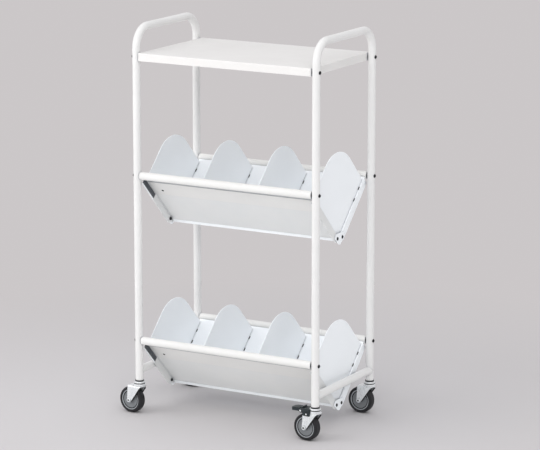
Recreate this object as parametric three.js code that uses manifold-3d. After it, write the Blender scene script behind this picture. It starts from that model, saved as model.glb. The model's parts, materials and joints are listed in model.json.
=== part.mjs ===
// Medical chart cart: two bent tube end frames on four swivel casters carry a flat top shelf and two V-shaped
// troughs, where charts stand between dome-topped plates. Millimetres, +Z up, front toward -Y.
import * as THREE from "three";
import * as BufferGeometryUtils from "three/addons/utils/BufferGeometryUtils.js";
import Module from "manifold-3d";

const wasm = await Module();
wasm.setup();

// Fits: the gap between two pieces, the play of a shank in its hole, and how far a cutter runs past a wall
const clearance = 0.3;
const play = 0.6;
const overrun = 2;

// Tube frame
const tubeDiameter = 22.2;
const tubeWall = 1.5;
const legSpacingX = 565;
const legSpacingY = 318.5;
const frameHeight = 1108;
const handleBendRadius = 56;
const crossTubeRise = 28.5;
const ventRadius = 3;

// Top shelf: its top lies below the top of the handles
const shelfDrop = 78.5;
const shelfApron = 22;
const shelfSheet = 1.5;
const shelfCornerRadius = 3;

// Troughs: each side is a sheet that slopes down from a rail and turns down into a lip along the seam. A
// strip along the rail doubles the front sheet on its outer face.
const lowerRailHeight = 212.5;
const railSpacing = 472;
const troughSlopeDegrees = 45;
const troughSheet = 1.5;
const troughEndGap = 2.6;
const sheetInset = 5.8;
const lipLength = 7.5;
const lipBendRadius = 12;
const seamGap = 0.6;
const endFlangeWidth = 22;
const flangeRailGap = 4;
const stripSetback = 93;
const stripSheet = 1.2;

// Dome-topped plates: setbacks are measured down the slope from the rail
const plateCount = 4;
const plateThickness = 2;
const plateEndInset = 5.5;
const plateSetback = 19.3;
const plateCornerRadius = 4;
const domeRadius = 100;
const plateToeWidth = 8;
const tabSetbacks = [89.5, 50.5];
const tabLength = 10;
const tabProud = 1.2;
const footSetback = 72;
const footLength = 44;
const footWidth = 32;
const footScrewInset = 29;
const footScrewRadius = 2;
const footHeadRadius = 3.2;
const footHeadHeight = 1.2;

// Brackets that tie the two sides of a trough at each end: rises are measured up from the seam
const bracketThickness = 2;
const bracketTopWidth = 44;
const bracketTopRise = 17;
const bracketWidth = 58;
const bracketWidthRise = 5;
const bracketTipDrop = 15.5;
const bracketTipRadius = 9;
const jointBoltSpacing = 28;
const jointBoltRise = 3.5;

// Frame bolts, with the threaded plugs and the nuts welded in for them
const frameBoltRadius = 3;
const frameBoltReach = 15;
const frameHeadRadius = 4.6;
const frameHeadHeight = 4;
const shelfNutRadius = 5.6;
const shelfNutHeight = 5;
const railPlugLength = 20;
const railPlugRecess = 1;

// Joint bolts and foot screws with their nuts
const smallBoltRadius = 2.5;
const smallHeadRadius = 4.6;
const smallHeadHeight = 3.6;
const smallNutHeight = 4;
const smallBoltEnd = 1.5;

// Wheels
const wheelDiameter = 75;
const tyreWidth = 25;
const tyreShoulder = 7;
const tyreShoulderDrop = 4.5;
const hubRadius = 29;
const hubRimWidth = 21;
const hubRimDepth = 2.6;
const hubFaceWidth = 19;
const hubGrooveWidth = 2;
const hubGrooveDepth = 2.5;
const hubBossRadius = 8;
const hubBossWidth = 27;

// Caster forks: reaches are measured along the fork, which trails behind the swivel axis
const casterTrail = 26;
const forkSheet = 2;
const forkWheelGap = 4;
const forkSideGap = 0.7;
const forkFrontReach = 13.5;
const forkPlateReach = 10;
const forkRearMargin = 4.5;
const forkEndRadius = 7;
const axleRadius = 3;
const axleHeadRadius = 5.5;
const axleHeadHeight = 3.6;

// Caster heads: two races with balls between them, on a stem in a socket in the leg
const lowerRaceRadius = 16.3;
const lowerRaceHeight = 6.2;
const upperRaceRadius = 15.3;
const upperRaceHeight = 4.8;
const raceEdge = 1.4;
const raceGap = 2.4;
const ballSeat = 1.4;
const ballCircleRadius = 11;
const ballsPerCaster = 8;
const stemRadius = 5;
const stemLength = 35;
const rivetHeadRadius = 8;
const rivetHeadHeight = 3;
const socketFlange = 3;
const socketFlangeProud = 1.4;
const socketDepth = 37;

// Brakes: heights are measured from the top of the fork, and the pedal's outline from its pivot
const brakeSkirt = 2.2;
const brakeCoverRise = 11;
const brakeSkirtDrop = 9;
const brakeSkirtFront = 6.5;
const brakeEarRadius = 5.6;
const brakeEarWidth = 6;
const pivotMargin = 6.2;
const pivotRise = 4;
const pivotPinRadius = 2;
const fixingPinBack = 17.5;
const fixingPinDrop = 3.4;
const fixingPinRadius = 1.8;
const pinProud = 0.8;
const pedalWidth = 26;
const pedalEarGap = 0.9;
const pedalRootRise = 6.5;
const pedalRootDrop = 3.5;
const pedalKneeBack = 23;
const pedalKneeRise = 5.2;
const pedalTipBack = 33.5;
const pedalTipRise = 1.5;
const pedalTipThickness = 4;
const pedalBumpWidth = 16;
const pedalBumpFront = 6;
const pedalBumpFoot = 8;
const pedalBumpCrest = 4;
const pedalBumpRise = 13.3;
const shoeThickness = 4.4;
const brakeTravelDegrees = 20;

// Each caster's turn about its stem, from trailing straight to the left
const casterPlaces = {
  front_left: { across: -1, along: -1, turnDegrees: -6, braked: false },
  front_right: { across: 1, along: -1, turnDegrees: -5, braked: true },
  rear_left: { across: -1, along: 1, turnDegrees: -4, braked: true },
  rear_right: { across: 1, along: 1, turnDegrees: -2, braked: false },
};

// How many flat faces stand for a round one
const tubeSides = 16;
const bendSteps = 6;
const boltSides = 8;
const headSides = 12;
const hexSides = 6;
const raceSides = 16;
const wheelSides = 24;
const cornerSteps = 3;
const domeSteps = 12;

// Worked out sizes of the caster, from the floor up to the leg end
const axleHeight = wheelDiameter / 2;
const forkInnerHalf = hubBossWidth / 2 + forkSideGap;
const forkOuterHalf = forkInnerHalf + forkSheet;
const forkRearReach = casterTrail + forkRearMargin;
const forkTop = wheelDiameter + forkWheelGap + forkSheet;
const lowerRaceTop = forkTop + lowerRaceHeight;
const upperRaceBottom = lowerRaceTop + raceGap;
const upperRaceTop = upperRaceBottom + upperRaceHeight;
const socketBottom = upperRaceTop + clearance;
const socketFlangeTop = socketBottom + socketFlange;
const legEndHeight = socketFlangeTop + clearance;

// Worked out sizes of the frame and the shelf
const tubeRadius = tubeDiameter / 2;
const tubeBore = tubeRadius - tubeWall;
const midWall = tubeRadius - tubeWall / 2;
const legX = legSpacingX / 2;
const legY = legSpacingY / 2;
const innerX = legX - tubeRadius - clearance;
const crossTubeHeight = legEndHeight + crossTubeRise;
const shelfTop = frameHeight - shelfDrop;
const shelfBottom = shelfTop - shelfApron;
const shelfBoltHeight = (shelfBottom + shelfTop - shelfSheet) / 2;
const upperRailHeight = lowerRailHeight + railSpacing;
const boltHeights = { lower: lowerRailHeight, upper: upperRailHeight, shelf: shelfBoltHeight };

// Worked out sizes of a trough, with its rail axes at height zero
const slope = THREE.MathUtils.degToRad(troughSlopeDegrees);
const troughDrop = legY * Math.tan(slope) - sheetInset / Math.cos(slope);
const troughHalfLength = innerX - troughEndGap;
const lipInner = seamGap / 2;
const lipOuter = lipInner + troughSheet;
const lipBottom = -troughDrop - lipLength;
const plateEndX = troughHalfLength - plateEndInset;
const plateXs = Array.from({ length: plateCount }, (_, i) => plateEndX * ((2 * i) / (plateCount - 1) - 1));
const jointBoltY = jointBoltSpacing / 2;
const jointBoltZ = -troughDrop + jointBoltRise;

// Materials

function finish(color, roughness, metalness) {
  return new THREE.MeshStandardMaterial({ color, roughness, metalness });
}

const whitePaint = finish(0xf1f1ee, 0.32, 0);
const panelPaint = finish(0xe9ebea, 0.34, 0);
const platePaint = finish(0xe4e9ec, 0.38, 0);
const brightZinc = finish(0xbfcad2, 0.3, 0.9);
const blackPlastic = finish(0x2b3033, 0.5, 0);
const slatePlastic = finish(0x39454b, 0.45, 0);
const greyPlastic = finish(0x767b7c, 0.5, 0);
const rubber = finish(0x1c1d20, 0.75, 0);

// Solids and booleans

function bare(geometry) {
  const copy = geometry.clone();
  copy.deleteAttribute("normal");
  copy.deleteAttribute("uv");
  return BufferGeometryUtils.mergeVertices(copy);
}

function toSolid(geometry) {
  const merged = bare(geometry);
  const vertProperties = new Float32Array(merged.attributes.position.array);
  const triVerts = new Uint32Array(merged.index.array);
  return new wasm.Manifold(new wasm.Mesh({ numProp: 3, vertProperties, triVerts }));
}

function toGeometry(solid) {
  const mesh = solid.getMesh();
  const geometry = new THREE.BufferGeometry();
  const points = new Float32Array(mesh.vertProperties);
  geometry.setAttribute("position", new THREE.BufferAttribute(points, mesh.numProp));
  geometry.setIndex(new THREE.BufferAttribute(new Uint32Array(mesh.triVerts), 1));
  return geometry;
}

function join(...geometries) {
  return toGeometry(geometries.map(toSolid).reduce((whole, part) => whole.add(part)));
}

function cut(geometry, ...tools) {
  return toGeometry(tools.map(toSolid).reduce((rest, tool) => rest.subtract(tool), toSolid(geometry)));
}

// Outlines: lists of [across, up] points, counterclockwise

function arc([across, up], radius, from, to, steps) {
  return Array.from({ length: steps + 1 }, (_, i) => {
    const angle = from + ((to - from) * i) / steps;
    return [across + radius * Math.cos(angle), up + radius * Math.sin(angle)];
  });
}

function shapeOf(points) {
  return new THREE.Shape(points.map(([across, up]) => new THREE.Vector2(across, up)));
}

function disc(radius, sides, centre = [0, 0]) {
  return shapeOf(arc(centre, radius, 0, 2 * Math.PI, sides).slice(0, sides));
}

function ring(outer, inner, sides, centre = [0, 0]) {
  const shape = disc(outer, sides, centre);
  shape.holes.push(disc(inner, sides, centre));
  return shape;
}

function rectangle(left, right, bottom, top) {
  return shapeOf([[left, bottom], [right, bottom], [right, top], [left, top]]);
}

function roundedRectangle(halfX, halfY, radius) {
  const quarter = Math.PI / 2;
  const corners = [[1, 1], [-1, 1], [-1, -1], [1, -1]];
  return shapeOf(corners.flatMap(([x, y], i) => (
    arc([x * (halfX - radius), y * (halfY - radius)], radius, i * quarter, (i + 1) * quarter, cornerSteps)
  )));
}

// Extrusions and turned solids

const unitX = new THREE.Vector3(1, 0, 0);
const unitY = new THREE.Vector3(0, 1, 0);
const unitZ = new THREE.Vector3(0, 0, 1);
const halfTurn = new THREE.Matrix4().makeRotationZ(Math.PI);
const yzToX = new THREE.Matrix4().makeBasis(unitY, unitZ, unitX);
const xzToY = new THREE.Matrix4().makeBasis(unitX, unitZ, unitY.clone().negate());

function extrudeZ(shape, from, to) {
  return new THREE.ExtrudeGeometry(shape, { depth: to - from, bevelEnabled: false }).translate(0, 0, from);
}

// A shape drawn in Y and Z, extruded between two places on X
function extrudeX(shape, from, to) {
  return extrudeZ(shape, from, to).applyMatrix4(yzToX);
}

// A shape drawn in X and Z, extruded between two places on Y
function extrudeY(shape, from, to) {
  return extrudeZ(shape, -to, -from).applyMatrix4(xzToY);
}

function acrossY(shape, halfLength) {
  return extrudeY(shape, -halfLength, halfLength);
}

function rodX(radius, sides, from, to, y, z) {
  return extrudeX(disc(radius, sides, [y, z]), from, to);
}

function rodY(radius, sides, halfLength, x, z) {
  return acrossY(disc(radius, sides, [x, z]), halfLength);
}

// A solid of revolution about Z, from pairs of radius and height
function turnZ(profile, sides) {
  const points = profile.map(([radius, height]) => new THREE.Vector2(radius, height));
  return new THREE.LatheGeometry(points, sides).rotateX(Math.PI / 2);
}

// The same solid at the other end of X, as its mirror image with its faces turned out again
function mirroredX(geometry) {
  const mirrored = geometry.clone().scale(-1, 1, 1);
  mirrored.index.array.reverse();
  return mirrored;
}

const cart = new THREE.Group();

function add(name, geometry, material, parent = cart) {
  const shown = bare(geometry);
  shown.computeVertexNormals();
  const mesh = new THREE.Mesh(shown, material);
  mesh.name = name;
  parent.add(mesh);
  return mesh;
}

// End frames: a tube bent up and over as a handle and two legs, with a cross tube welded between the legs

// A path that is sampled at its own stations only, so a straight run stays one span
class StationPath extends THREE.Curve {
  constructor(stations) {
    super();
    this.stations = stations;
  }

  getUtoTmapping(share) {
    return share;
  }

  stationAt(share) {
    return this.stations[Math.round(share * (this.stations.length - 1))];
  }

  getPoint(share, target = new THREE.Vector3()) {
    return target.copy(this.stationAt(share).point);
  }

  getTangent(share, target = new THREE.Vector3()) {
    return target.copy(this.stationAt(share).direction);
  }
}

function handleBend(side, firstAngle) {
  const centreY = side * (legY - handleBendRadius);
  const centreZ = frameHeight - tubeRadius - handleBendRadius;
  return Array.from({ length: bendSteps + 1 }, (_, step) => {
    const angle = firstAngle - (step / bendSteps) * (Math.PI / 2);
    const outward = new THREE.Vector3(0, Math.cos(angle), Math.sin(angle));
    const point = new THREE.Vector3(0, centreY, centreZ).addScaledVector(outward, handleBendRadius);
    return { point, direction: new THREE.Vector3(0, outward.z, -outward.y) };
  });
}

// Up the front leg, over the top and down the rear leg
function bentTubeGeometry() {
  const stations = [
    { point: new THREE.Vector3(0, -legY, legEndHeight), direction: unitZ },
    ...handleBend(-1, Math.PI),
    ...handleBend(1, Math.PI / 2),
    { point: new THREE.Vector3(0, legY, legEndHeight), direction: unitZ.clone().negate() },
  ];
  const section = ring(tubeRadius, tubeBore, tubeSides);
  const extrudePath = new StationPath(stations);
  return new THREE.ExtrudeGeometry(section, { steps: stations.length - 1, extrudePath });
}

// The vents let the cross tube's air out into the legs
function endFrameGeometry() {
  const reach = tubeRadius + overrun;
  const legSpaces = [-legY, legY].map((y) => extrudeZ(disc(midWall, tubeSides, [0, y]), -reach, reach));
  const crossTube = cut(acrossY(ring(tubeRadius, tubeBore, tubeSides), legY), ...legSpaces);
  const boltHoles = Object.values(boltHeights).flatMap((z) => (
    [-legY, legY].map((y) => rodX(frameBoltRadius + play, boltSides, -reach, reach, y, z))
  ));
  const welded = join(bentTubeGeometry(), crossTube.translate(0, 0, crossTubeHeight));
  return cut(welded, ...boltHoles, rodY(ventRadius, boltSides, legY, 0, crossTubeHeight));
}

function addEndFrames() {
  add("left_end_frame", endFrameGeometry(), whitePaint).position.x = -legX;
  add("right_end_frame", endFrameGeometry(), whitePaint).position.x = legX;
}

// Top shelf: a sheet with an apron turned down all round and a nut welded behind it at each leg
function addShelf() {
  const halfY = legY + tubeRadius;
  const reach = innerX + overrun;
  const nutEnd = innerX - shelfSheet / 2;
  const nutStart = innerX - shelfSheet - shelfNutHeight;
  const block = extrudeZ(roundedRectangle(innerX, halfY, shelfCornerRadius), shelfBottom, shelfTop);
  const inside = roundedRectangle(innerX - shelfSheet, halfY - shelfSheet, shelfCornerRadius - shelfSheet);
  const shell = cut(block, extrudeZ(inside, shelfBottom - overrun, shelfTop - shelfSheet));
  const nuts = [-legY, legY].flatMap((y) => [
    rodX(shelfNutRadius, hexSides, nutStart, nutEnd, y, shelfBoltHeight),
    rodX(shelfNutRadius, hexSides, -nutEnd, -nutStart, y, shelfBoltHeight),
  ]);
  const holes = [-legY, legY].map((y) => (
    rodX(frameBoltRadius + play, boltSides, -reach, reach, y, shelfBoltHeight)
  ));
  add("top_shelf", cut(join(shell, ...nuts), ...holes), whitePaint);
}

// Trough sides. The rear one has its own frame: s runs up its slope from the seam and n into the V.

const upSlope = new THREE.Vector3(0, Math.cos(slope), Math.sin(slope));
const offSlope = new THREE.Vector3(0, -Math.sin(slope), Math.cos(slope));
const onRearSlope = new THREE.Matrix4().makeBasis(unitX, upSlope, offSlope).setPosition(0, 0, -troughDrop);
const onFrontSlope = halfTurn.clone().multiply(onRearSlope);
const railS = legY * upSlope.y + troughDrop * upSlope.z;
const railN = legY * offSlope.y + troughDrop * offSlope.z;

function sidePoint(s, n) {
  return [upSlope.y * s + offSlope.y * n, upSlope.z * s + offSlope.z * n - troughDrop];
}

// Where the sheet ends in the rail's wall, at a place n through the sheet
function weldPoint(n) {
  return sidePoint(railS - Math.sqrt(midWall ** 2 - (n - railN) ** 2), n);
}

// The sloping sheet and the lip turned down along the seam
function sheetSection() {
  const bendY = lipOuter + lipBendRadius;
  const bend = [bendY, bendY * Math.tan(slope) - troughDrop - lipBendRadius / Math.cos(slope)];
  const tangent = Math.PI / 2 + slope;
  return shapeOf([
    weldPoint(0),
    weldPoint(troughSheet),
    ...arc(bend, lipBendRadius + troughSheet, tangent, Math.PI, cornerSteps),
    [lipInner, lipBottom],
    [lipOuter, lipBottom],
    ...arc(bend, lipBendRadius, Math.PI, tangent, cornerSteps),
  ]);
}

// The strip, from the rail down over the outer face of the sheet
function stripSection() {
  const lowS = railS - stripSetback;
  return shapeOf([
    weldPoint(troughSheet / 2),
    sidePoint(lowS, troughSheet / 2),
    sidePoint(lowS, -stripSheet),
    weldPoint(-stripSheet),
  ]);
}

// The flange turned outward at each end of the sheet
function flangeSection() {
  const topS = railS - tubeRadius - flangeRailGap;
  const [freeY, freeZ] = sidePoint(topS, -endFlangeWidth);
  return shapeOf([
    sidePoint(topS, troughSheet / 2),
    [lipOuter, lipOuter * Math.tan(slope) - troughDrop],
    [lipOuter, lipBottom],
    [freeY - (freeZ - lipBottom) / Math.tan(slope), lipBottom],
    [freeY, freeZ],
  ]);
}

function throughSheet(shape) {
  return extrudeZ(shape, -stripSheet - overrun, troughSheet + overrun).applyMatrix4(onRearSlope);
}

function slotShape([x, s]) {
  const halfX = plateThickness / 2 + clearance;
  const halfS = tabLength / 2 + clearance;
  return rectangle(x - halfX, x + halfX, s - halfS, s + halfS);
}

// One side of a trough, as the rear one: rail with threaded plugs, sheet, end flanges and their welded nuts.
// Slots and screw holes are places [x, s] on its slope.
function sideGeometry(sections, slots, screwHoles) {
  const end = troughHalfLength;
  const plugEnd = innerX - railPlugRecess;
  const nutStart = end - troughSheet - smallNutHeight;
  const reach = innerX + overrun;
  const rightEnd = join(
    rodX(midWall, tubeSides, plugEnd - railPlugLength, plugEnd, legY, 0),
    extrudeX(flangeSection(), end - troughSheet, end),
    rodX(smallHeadRadius, hexSides, nutStart, end - troughSheet / 2, jointBoltY, jointBoltZ),
  );
  const whole = join(
    extrudeX(ring(tubeRadius, tubeBore, tubeSides, [legY, 0]), -innerX, innerX),
    ...sections.map((section) => extrudeX(section, -end, end)),
    rightEnd,
    mirroredX(rightEnd),
  );
  return cut(
    whole,
    rodX(frameBoltRadius + play, boltSides, -reach, reach, legY, 0),
    rodX(smallBoltRadius + play, boltSides, -reach, reach, jointBoltY, jointBoltZ),
    ...slots.map((place) => throughSheet(slotShape(place))),
    ...screwHoles.map((place) => throughSheet(disc(footScrewRadius + play, boltSides, place))),
  );
}

// Dome-topped plates: a square standing on its corner, with a dome for its top and two tabs on its rear edge

const plateN = troughSheet + clearance;
const footTop = plateN + plateThickness;
const footPlace = [plateEndX - footScrewInset, railS - footSetback];

function tabPoints(setback) {
  const middle = railS - setback;
  const [low, high] = [middle - tabLength / 2, middle + tabLength / 2];
  const corners = [[low, plateN], [low, -tabProud], [high, -tabProud], [high, plateN]];
  return corners.map(([s, n]) => sidePoint(s, n));
}

// The right half of the plate's outline, from its toe up to the start of the dome
function plateHalf(tabs) {
  const toe = plateToeWidth / 2;
  const edgeZ = plateN / Math.cos(slope) - troughDrop;
  const corner = sidePoint(railS - plateSetback - plateCornerRadius, plateN + plateCornerRadius);
  return [
    [toe, edgeZ + toe * Math.tan(slope)],
    ...tabs,
    ...arc(corner, plateCornerRadius, slope - Math.PI / 2, slope, cornerSteps),
  ];
}

function plateGeometry(x) {
  const domeZ = (railS - plateSetback - domeRadius) / upSlope.z - troughDrop;
  const shape = shapeOf([
    ...plateHalf(tabSetbacks.flatMap(tabPoints)),
    ...arc([0, domeZ], domeRadius, slope, Math.PI - slope, domeSteps),
    ...plateHalf([]).map(([y, z]) => [-y, z]).reverse(),
  ]);
  return extrudeX(shape, x - plateThickness / 2, x + plateThickness / 2);
}

// The left end plate has a foot, bent toward the middle, and the screw that holds it to the front side
function footedPlateGeometry() {
  const [, screwS] = footPlace;
  const outerX = plateEndX + plateThickness / 2;
  const headTop = -stripSheet - clearance;
  const headBottom = headTop - footHeadHeight;
  const nutTop = footTop + smallNutHeight;
  const screwEnd = nutTop + smallBoltEnd;
  const footShape = rectangle(outerX - footLength, outerX, screwS - footWidth / 2, screwS + footWidth / 2);
  const foot = join(
    extrudeZ(footShape, plateN, footTop),
    extrudeZ(disc(footHeadRadius, headSides, footPlace), headBottom, headTop),
    extrudeZ(disc(footScrewRadius, boltSides, footPlace), headTop - footHeadHeight / 2, screwEnd),
    extrudeZ(disc(smallHeadRadius, hexSides, footPlace), footTop - plateThickness / 2, nutTop),
  );
  return join(plateGeometry(-plateEndX), foot.applyMatrix4(onFrontSlope));
}

// Joint brackets: a shield-shaped plate and its two bolts across the bottom corners of a trough's end flanges

function bracketShape() {
  const half = bracketWidth / 2;
  const widthZ = bracketWidthRise - troughDrop;
  const tipCentreZ = bracketTipRadius - bracketTipDrop - troughDrop;
  const rise = widthZ - tipCentreZ;
  const tangent = Math.atan2(rise, half) - Math.acos(bracketTipRadius / Math.hypot(half, rise));
  return shapeOf([
    ...arc([0, tipCentreZ], bracketTipRadius, -Math.PI - tangent, tangent, cornerSteps * 2),
    [half, widthZ],
    [bracketTopWidth / 2, bracketTopRise - troughDrop],
    [-bracketTopWidth / 2, bracketTopRise - troughDrop],
    [-half, widthZ],
  ]);
}

function bracketGeometry() {
  const inner = troughHalfLength + clearance;
  const outer = inner + bracketThickness;
  const tip = troughHalfLength - troughSheet - smallNutHeight - smallBoltEnd;
  const bolts = [-jointBoltY, jointBoltY].flatMap((y) => [
    rodX(smallBoltRadius, boltSides, tip, outer, y, jointBoltZ),
    rodX(smallHeadRadius, hexSides, outer, outer + smallHeadHeight, y, jointBoltZ),
  ]);
  return join(extrudeX(bracketShape(), inner, outer), ...bolts);
}

function addTrough(level, height) {
  const trough = new THREE.Group();
  trough.position.z = height;
  cart.add(trough);
  const slots = plateXs.flatMap((x) => tabSetbacks.map((setback) => [x, railS - setback]));
  const [, leftX, rightX, rightEndX] = plateXs;
  const bracket = bracketGeometry();
  const frontSide = sideGeometry([sheetSection(), stripSection()], [], [footPlace]);
  add(`${level}_front_side`, frontSide.applyMatrix4(halfTurn), panelPaint, trough);
  add(`${level}_rear_side`, sideGeometry([sheetSection()], slots, []), panelPaint, trough);
  add(`${level}_left_end_plate`, footedPlateGeometry(), platePaint, trough);
  add(`${level}_left_divider`, plateGeometry(leftX), platePaint, trough);
  add(`${level}_right_divider`, plateGeometry(rightX), platePaint, trough);
  add(`${level}_right_end_plate`, plateGeometry(rightEndX), platePaint, trough);
  add(`${level}_left_bracket`, bracket.clone().applyMatrix4(halfTurn), whitePaint, trough);
  add(`${level}_right_bracket`, bracket, whitePaint, trough);
}

// Frame bolts, from the outer side of each leg into the rails and the shelf

function frameBoltGeometry() {
  const seat = legX + tubeRadius + clearance;
  return join(
    rodX(frameHeadRadius, headSides, seat, seat + frameHeadHeight, 0, 0),
    rodX(frameBoltRadius, boltSides, innerX - frameBoltReach, seat + frameHeadHeight / 2, 0, 0),
  );
}

function addFrameBolts() {
  const right = frameBoltGeometry();
  const left = right.clone().applyMatrix4(halfTurn);
  for (const [level, z] of Object.entries(boltHeights)) {
    add(`${level}_front_left_bolt`, left, brightZinc).position.set(0, -legY, z);
    add(`${level}_front_right_bolt`, right, brightZinc).position.set(0, -legY, z);
    add(`${level}_rear_left_bolt`, left, brightZinc).position.set(0, legY, z);
    add(`${level}_rear_right_bolt`, right, brightZinc).position.set(0, legY, z);
  }
}

// Caster heads

const ballRadius = raceGap / 2 + ballSeat;
const grooveInner = ballCircleRadius - ballRadius - clearance;
const grooveOuter = ballCircleRadius + ballRadius + clearance;
const ballHeight = upperRaceBottom - raceGap / 2;

function socketGeometry() {
  const top = socketBottom + socketDepth;
  const bore = stemRadius + play;
  const flangeRadius = tubeRadius + socketFlangeProud;
  const plugRadius = tubeBore - clearance;
  return turnZ([
    [bore, socketBottom],
    [flangeRadius, socketBottom],
    [flangeRadius, socketFlangeTop],
    [plugRadius, socketFlangeTop],
    [plugRadius, top],
    [bore, top],
    [bore, socketBottom],
  ], tubeSides);
}

// Rivet head under the fork, upper race and stem as one turned piece, with the balls held in the race
function stemGeometry() {
  const rivetTop = forkTop - forkSheet - clearance;
  const rivetBottom = rivetTop - rivetHeadHeight;
  const grooveTop = upperRaceBottom + ballSeat / 2;
  const turned = turnZ([
    [0, rivetBottom],
    [rivetHeadRadius, rivetBottom],
    [rivetHeadRadius, rivetTop],
    [stemRadius, rivetTop],
    [stemRadius, upperRaceBottom],
    [grooveInner, upperRaceBottom],
    [grooveInner, grooveTop],
    [grooveOuter, grooveTop],
    [grooveOuter, upperRaceBottom],
    [upperRaceRadius, upperRaceBottom],
    [upperRaceRadius, upperRaceTop - raceEdge],
    [upperRaceRadius - raceEdge, upperRaceTop],
    [stemRadius, upperRaceTop],
    [stemRadius, upperRaceTop + stemLength],
    [0, upperRaceTop + stemLength],
  ], raceSides);
  const ballPlaces = arc([0, 0], ballCircleRadius, 0, 2 * Math.PI, ballsPerCaster).slice(0, ballsPerCaster);
  const ball = new THREE.IcosahedronGeometry(ballRadius).translate(0, 0, ballHeight);
  const balls = ballPlaces.map(([x, y]) => ball.clone().translate(x, y, 0));
  return join(turned, ...balls);
}

// Caster forks: straight at the rear, slanted in front and round below the axle
function cheekShape() {
  const run = casterTrail + forkFrontReach;
  const rise = forkTop - axleHeight;
  const tangent = Math.atan2(rise, run) - Math.acos(forkEndRadius / Math.hypot(run, rise));
  return shapeOf([
    ...arc([-casterTrail, axleHeight], forkEndRadius, -Math.PI, tangent, cornerSteps * 2),
    [forkFrontReach, forkTop],
    [-forkRearReach, forkTop],
  ]);
}

function forkGeometry(braked) {
  const cheek = cheekShape();
  const plateBottom = forkTop - forkSheet;
  const lowerRace = turnZ([
    [0, plateBottom],
    [forkOuterHalf, plateBottom],
    [forkOuterHalf, forkTop],
    [lowerRaceRadius, forkTop + raceEdge],
    [lowerRaceRadius, lowerRaceTop],
    [0, lowerRaceTop],
  ], raceSides);
  const body = join(
    extrudeY(cheek, -forkOuterHalf, -forkInnerHalf),
    extrudeY(cheek, forkInnerHalf, forkOuterHalf),
    extrudeZ(rectangle(-forkRearReach, forkPlateReach, -forkOuterHalf, forkOuterHalf), plateBottom, forkTop),
    lowerRace,
  );
  const groove = ring(grooveOuter, grooveInner, raceSides);
  const reach = forkOuterHalf + overrun;
  const cutters = [
    extrudeZ(disc(stemRadius + play, raceSides), plateBottom - overrun, lowerRaceTop + overrun),
    extrudeZ(groove, ballHeight - ballRadius - clearance, lowerRaceTop + overrun),
    rodY(axleRadius + play, boltSides, reach, -casterTrail, axleHeight),
  ];
  if (braked) {
    cutters.push(rodY(fixingPinRadius + play, boltSides, reach, -fixingPinBack, forkTop - fixingPinDrop));
  }
  return cut(body, ...cutters);
}

// Axle bolt with its nut screwed tight
function axleGeometry() {
  const seat = forkOuterHalf + clearance;
  const headShape = disc(axleHeadRadius, hexSides, [-casterTrail, axleHeight]);
  return join(
    extrudeY(headShape, -seat - axleHeadHeight, -seat),
    extrudeY(headShape, seat, seat + axleHeadHeight),
    rodY(axleRadius, boltSides, seat + axleHeadHeight / 2, -casterTrail, axleHeight),
  );
}

// Wheels: a hub and a tyre

// A solid of revolution about the axle, with a flat of its rim toward the floor
function turnWheel(profile) {
  const flatShare = Math.cos(Math.PI / wheelSides);
  const points = profile.map(([radius, across]) => new THREE.Vector2(radius / flatShare, across));
  const turned = new THREE.LatheGeometry([...points, points[0]], wheelSides);
  return turned.rotateY(Math.PI / wheelSides).translate(-casterTrail, 0, axleHeight);
}

function hubGeometry() {
  const bore = axleRadius + play;
  const grooveOuterRadius = hubRadius - hubRimDepth;
  const faceRadius = grooveOuterRadius - hubGrooveWidth;
  const grooveFloor = hubFaceWidth / 2 - hubGrooveDepth;
  const half = [
    [bore, hubBossWidth / 2],
    [hubBossRadius, hubBossWidth / 2],
    [hubBossRadius, hubFaceWidth / 2],
    [faceRadius, hubFaceWidth / 2],
    [faceRadius, grooveFloor],
    [grooveOuterRadius, grooveFloor],
    [grooveOuterRadius, hubRimWidth / 2],
    [hubRadius, hubRimWidth / 2],
  ];
  const otherHalf = half.map(([radius, across]) => [radius, -across]);
  return turnWheel([...otherHalf, ...half.reverse()]);
}

// The tread is flat in the middle and rounds down to each side wall
function tyreGeometry() {
  const bore = hubRadius + clearance;
  const half = tyreWidth / 2;
  const treadHalf = half - tyreShoulder;
  const rounding = arc([0, 0], 1, 0, Math.PI / 2, cornerSteps);
  const shoulder = rounding.map(([across, up]) => [
    axleHeight - tyreShoulderDrop * (1 - up),
    treadHalf + tyreShoulder * across,
  ]);
  const otherShoulder = shoulder.map(([radius, across]) => [radius, -across]);
  return turnWheel([[bore, -half], ...otherShoulder, ...shoulder.reverse(), [bore, half]]);
}

// Brakes

const pivotBack = forkRearReach + pivotMargin;
const pivotHeight = forkTop + pivotRise;
const coverInnerHalf = forkOuterHalf + clearance;
const coverOuterHalf = coverInnerHalf + brakeSkirt;
const earInnerHalf = coverOuterHalf - brakeEarWidth;

function earGeometries() {
  const bottom = pivotHeight - brakeEarRadius;
  const top = pivotHeight + brakeEarRadius;
  const round = disc(brakeEarRadius, headSides, [-pivotBack, pivotHeight]);
  const root = rectangle(-pivotBack, overrun - forkRearReach, bottom, top);
  return [round, root].flatMap((shape) => [
    extrudeY(shape, -coverOuterHalf, -earInnerHalf),
    extrudeY(shape, earInnerHalf, coverOuterHalf),
  ]);
}

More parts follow.
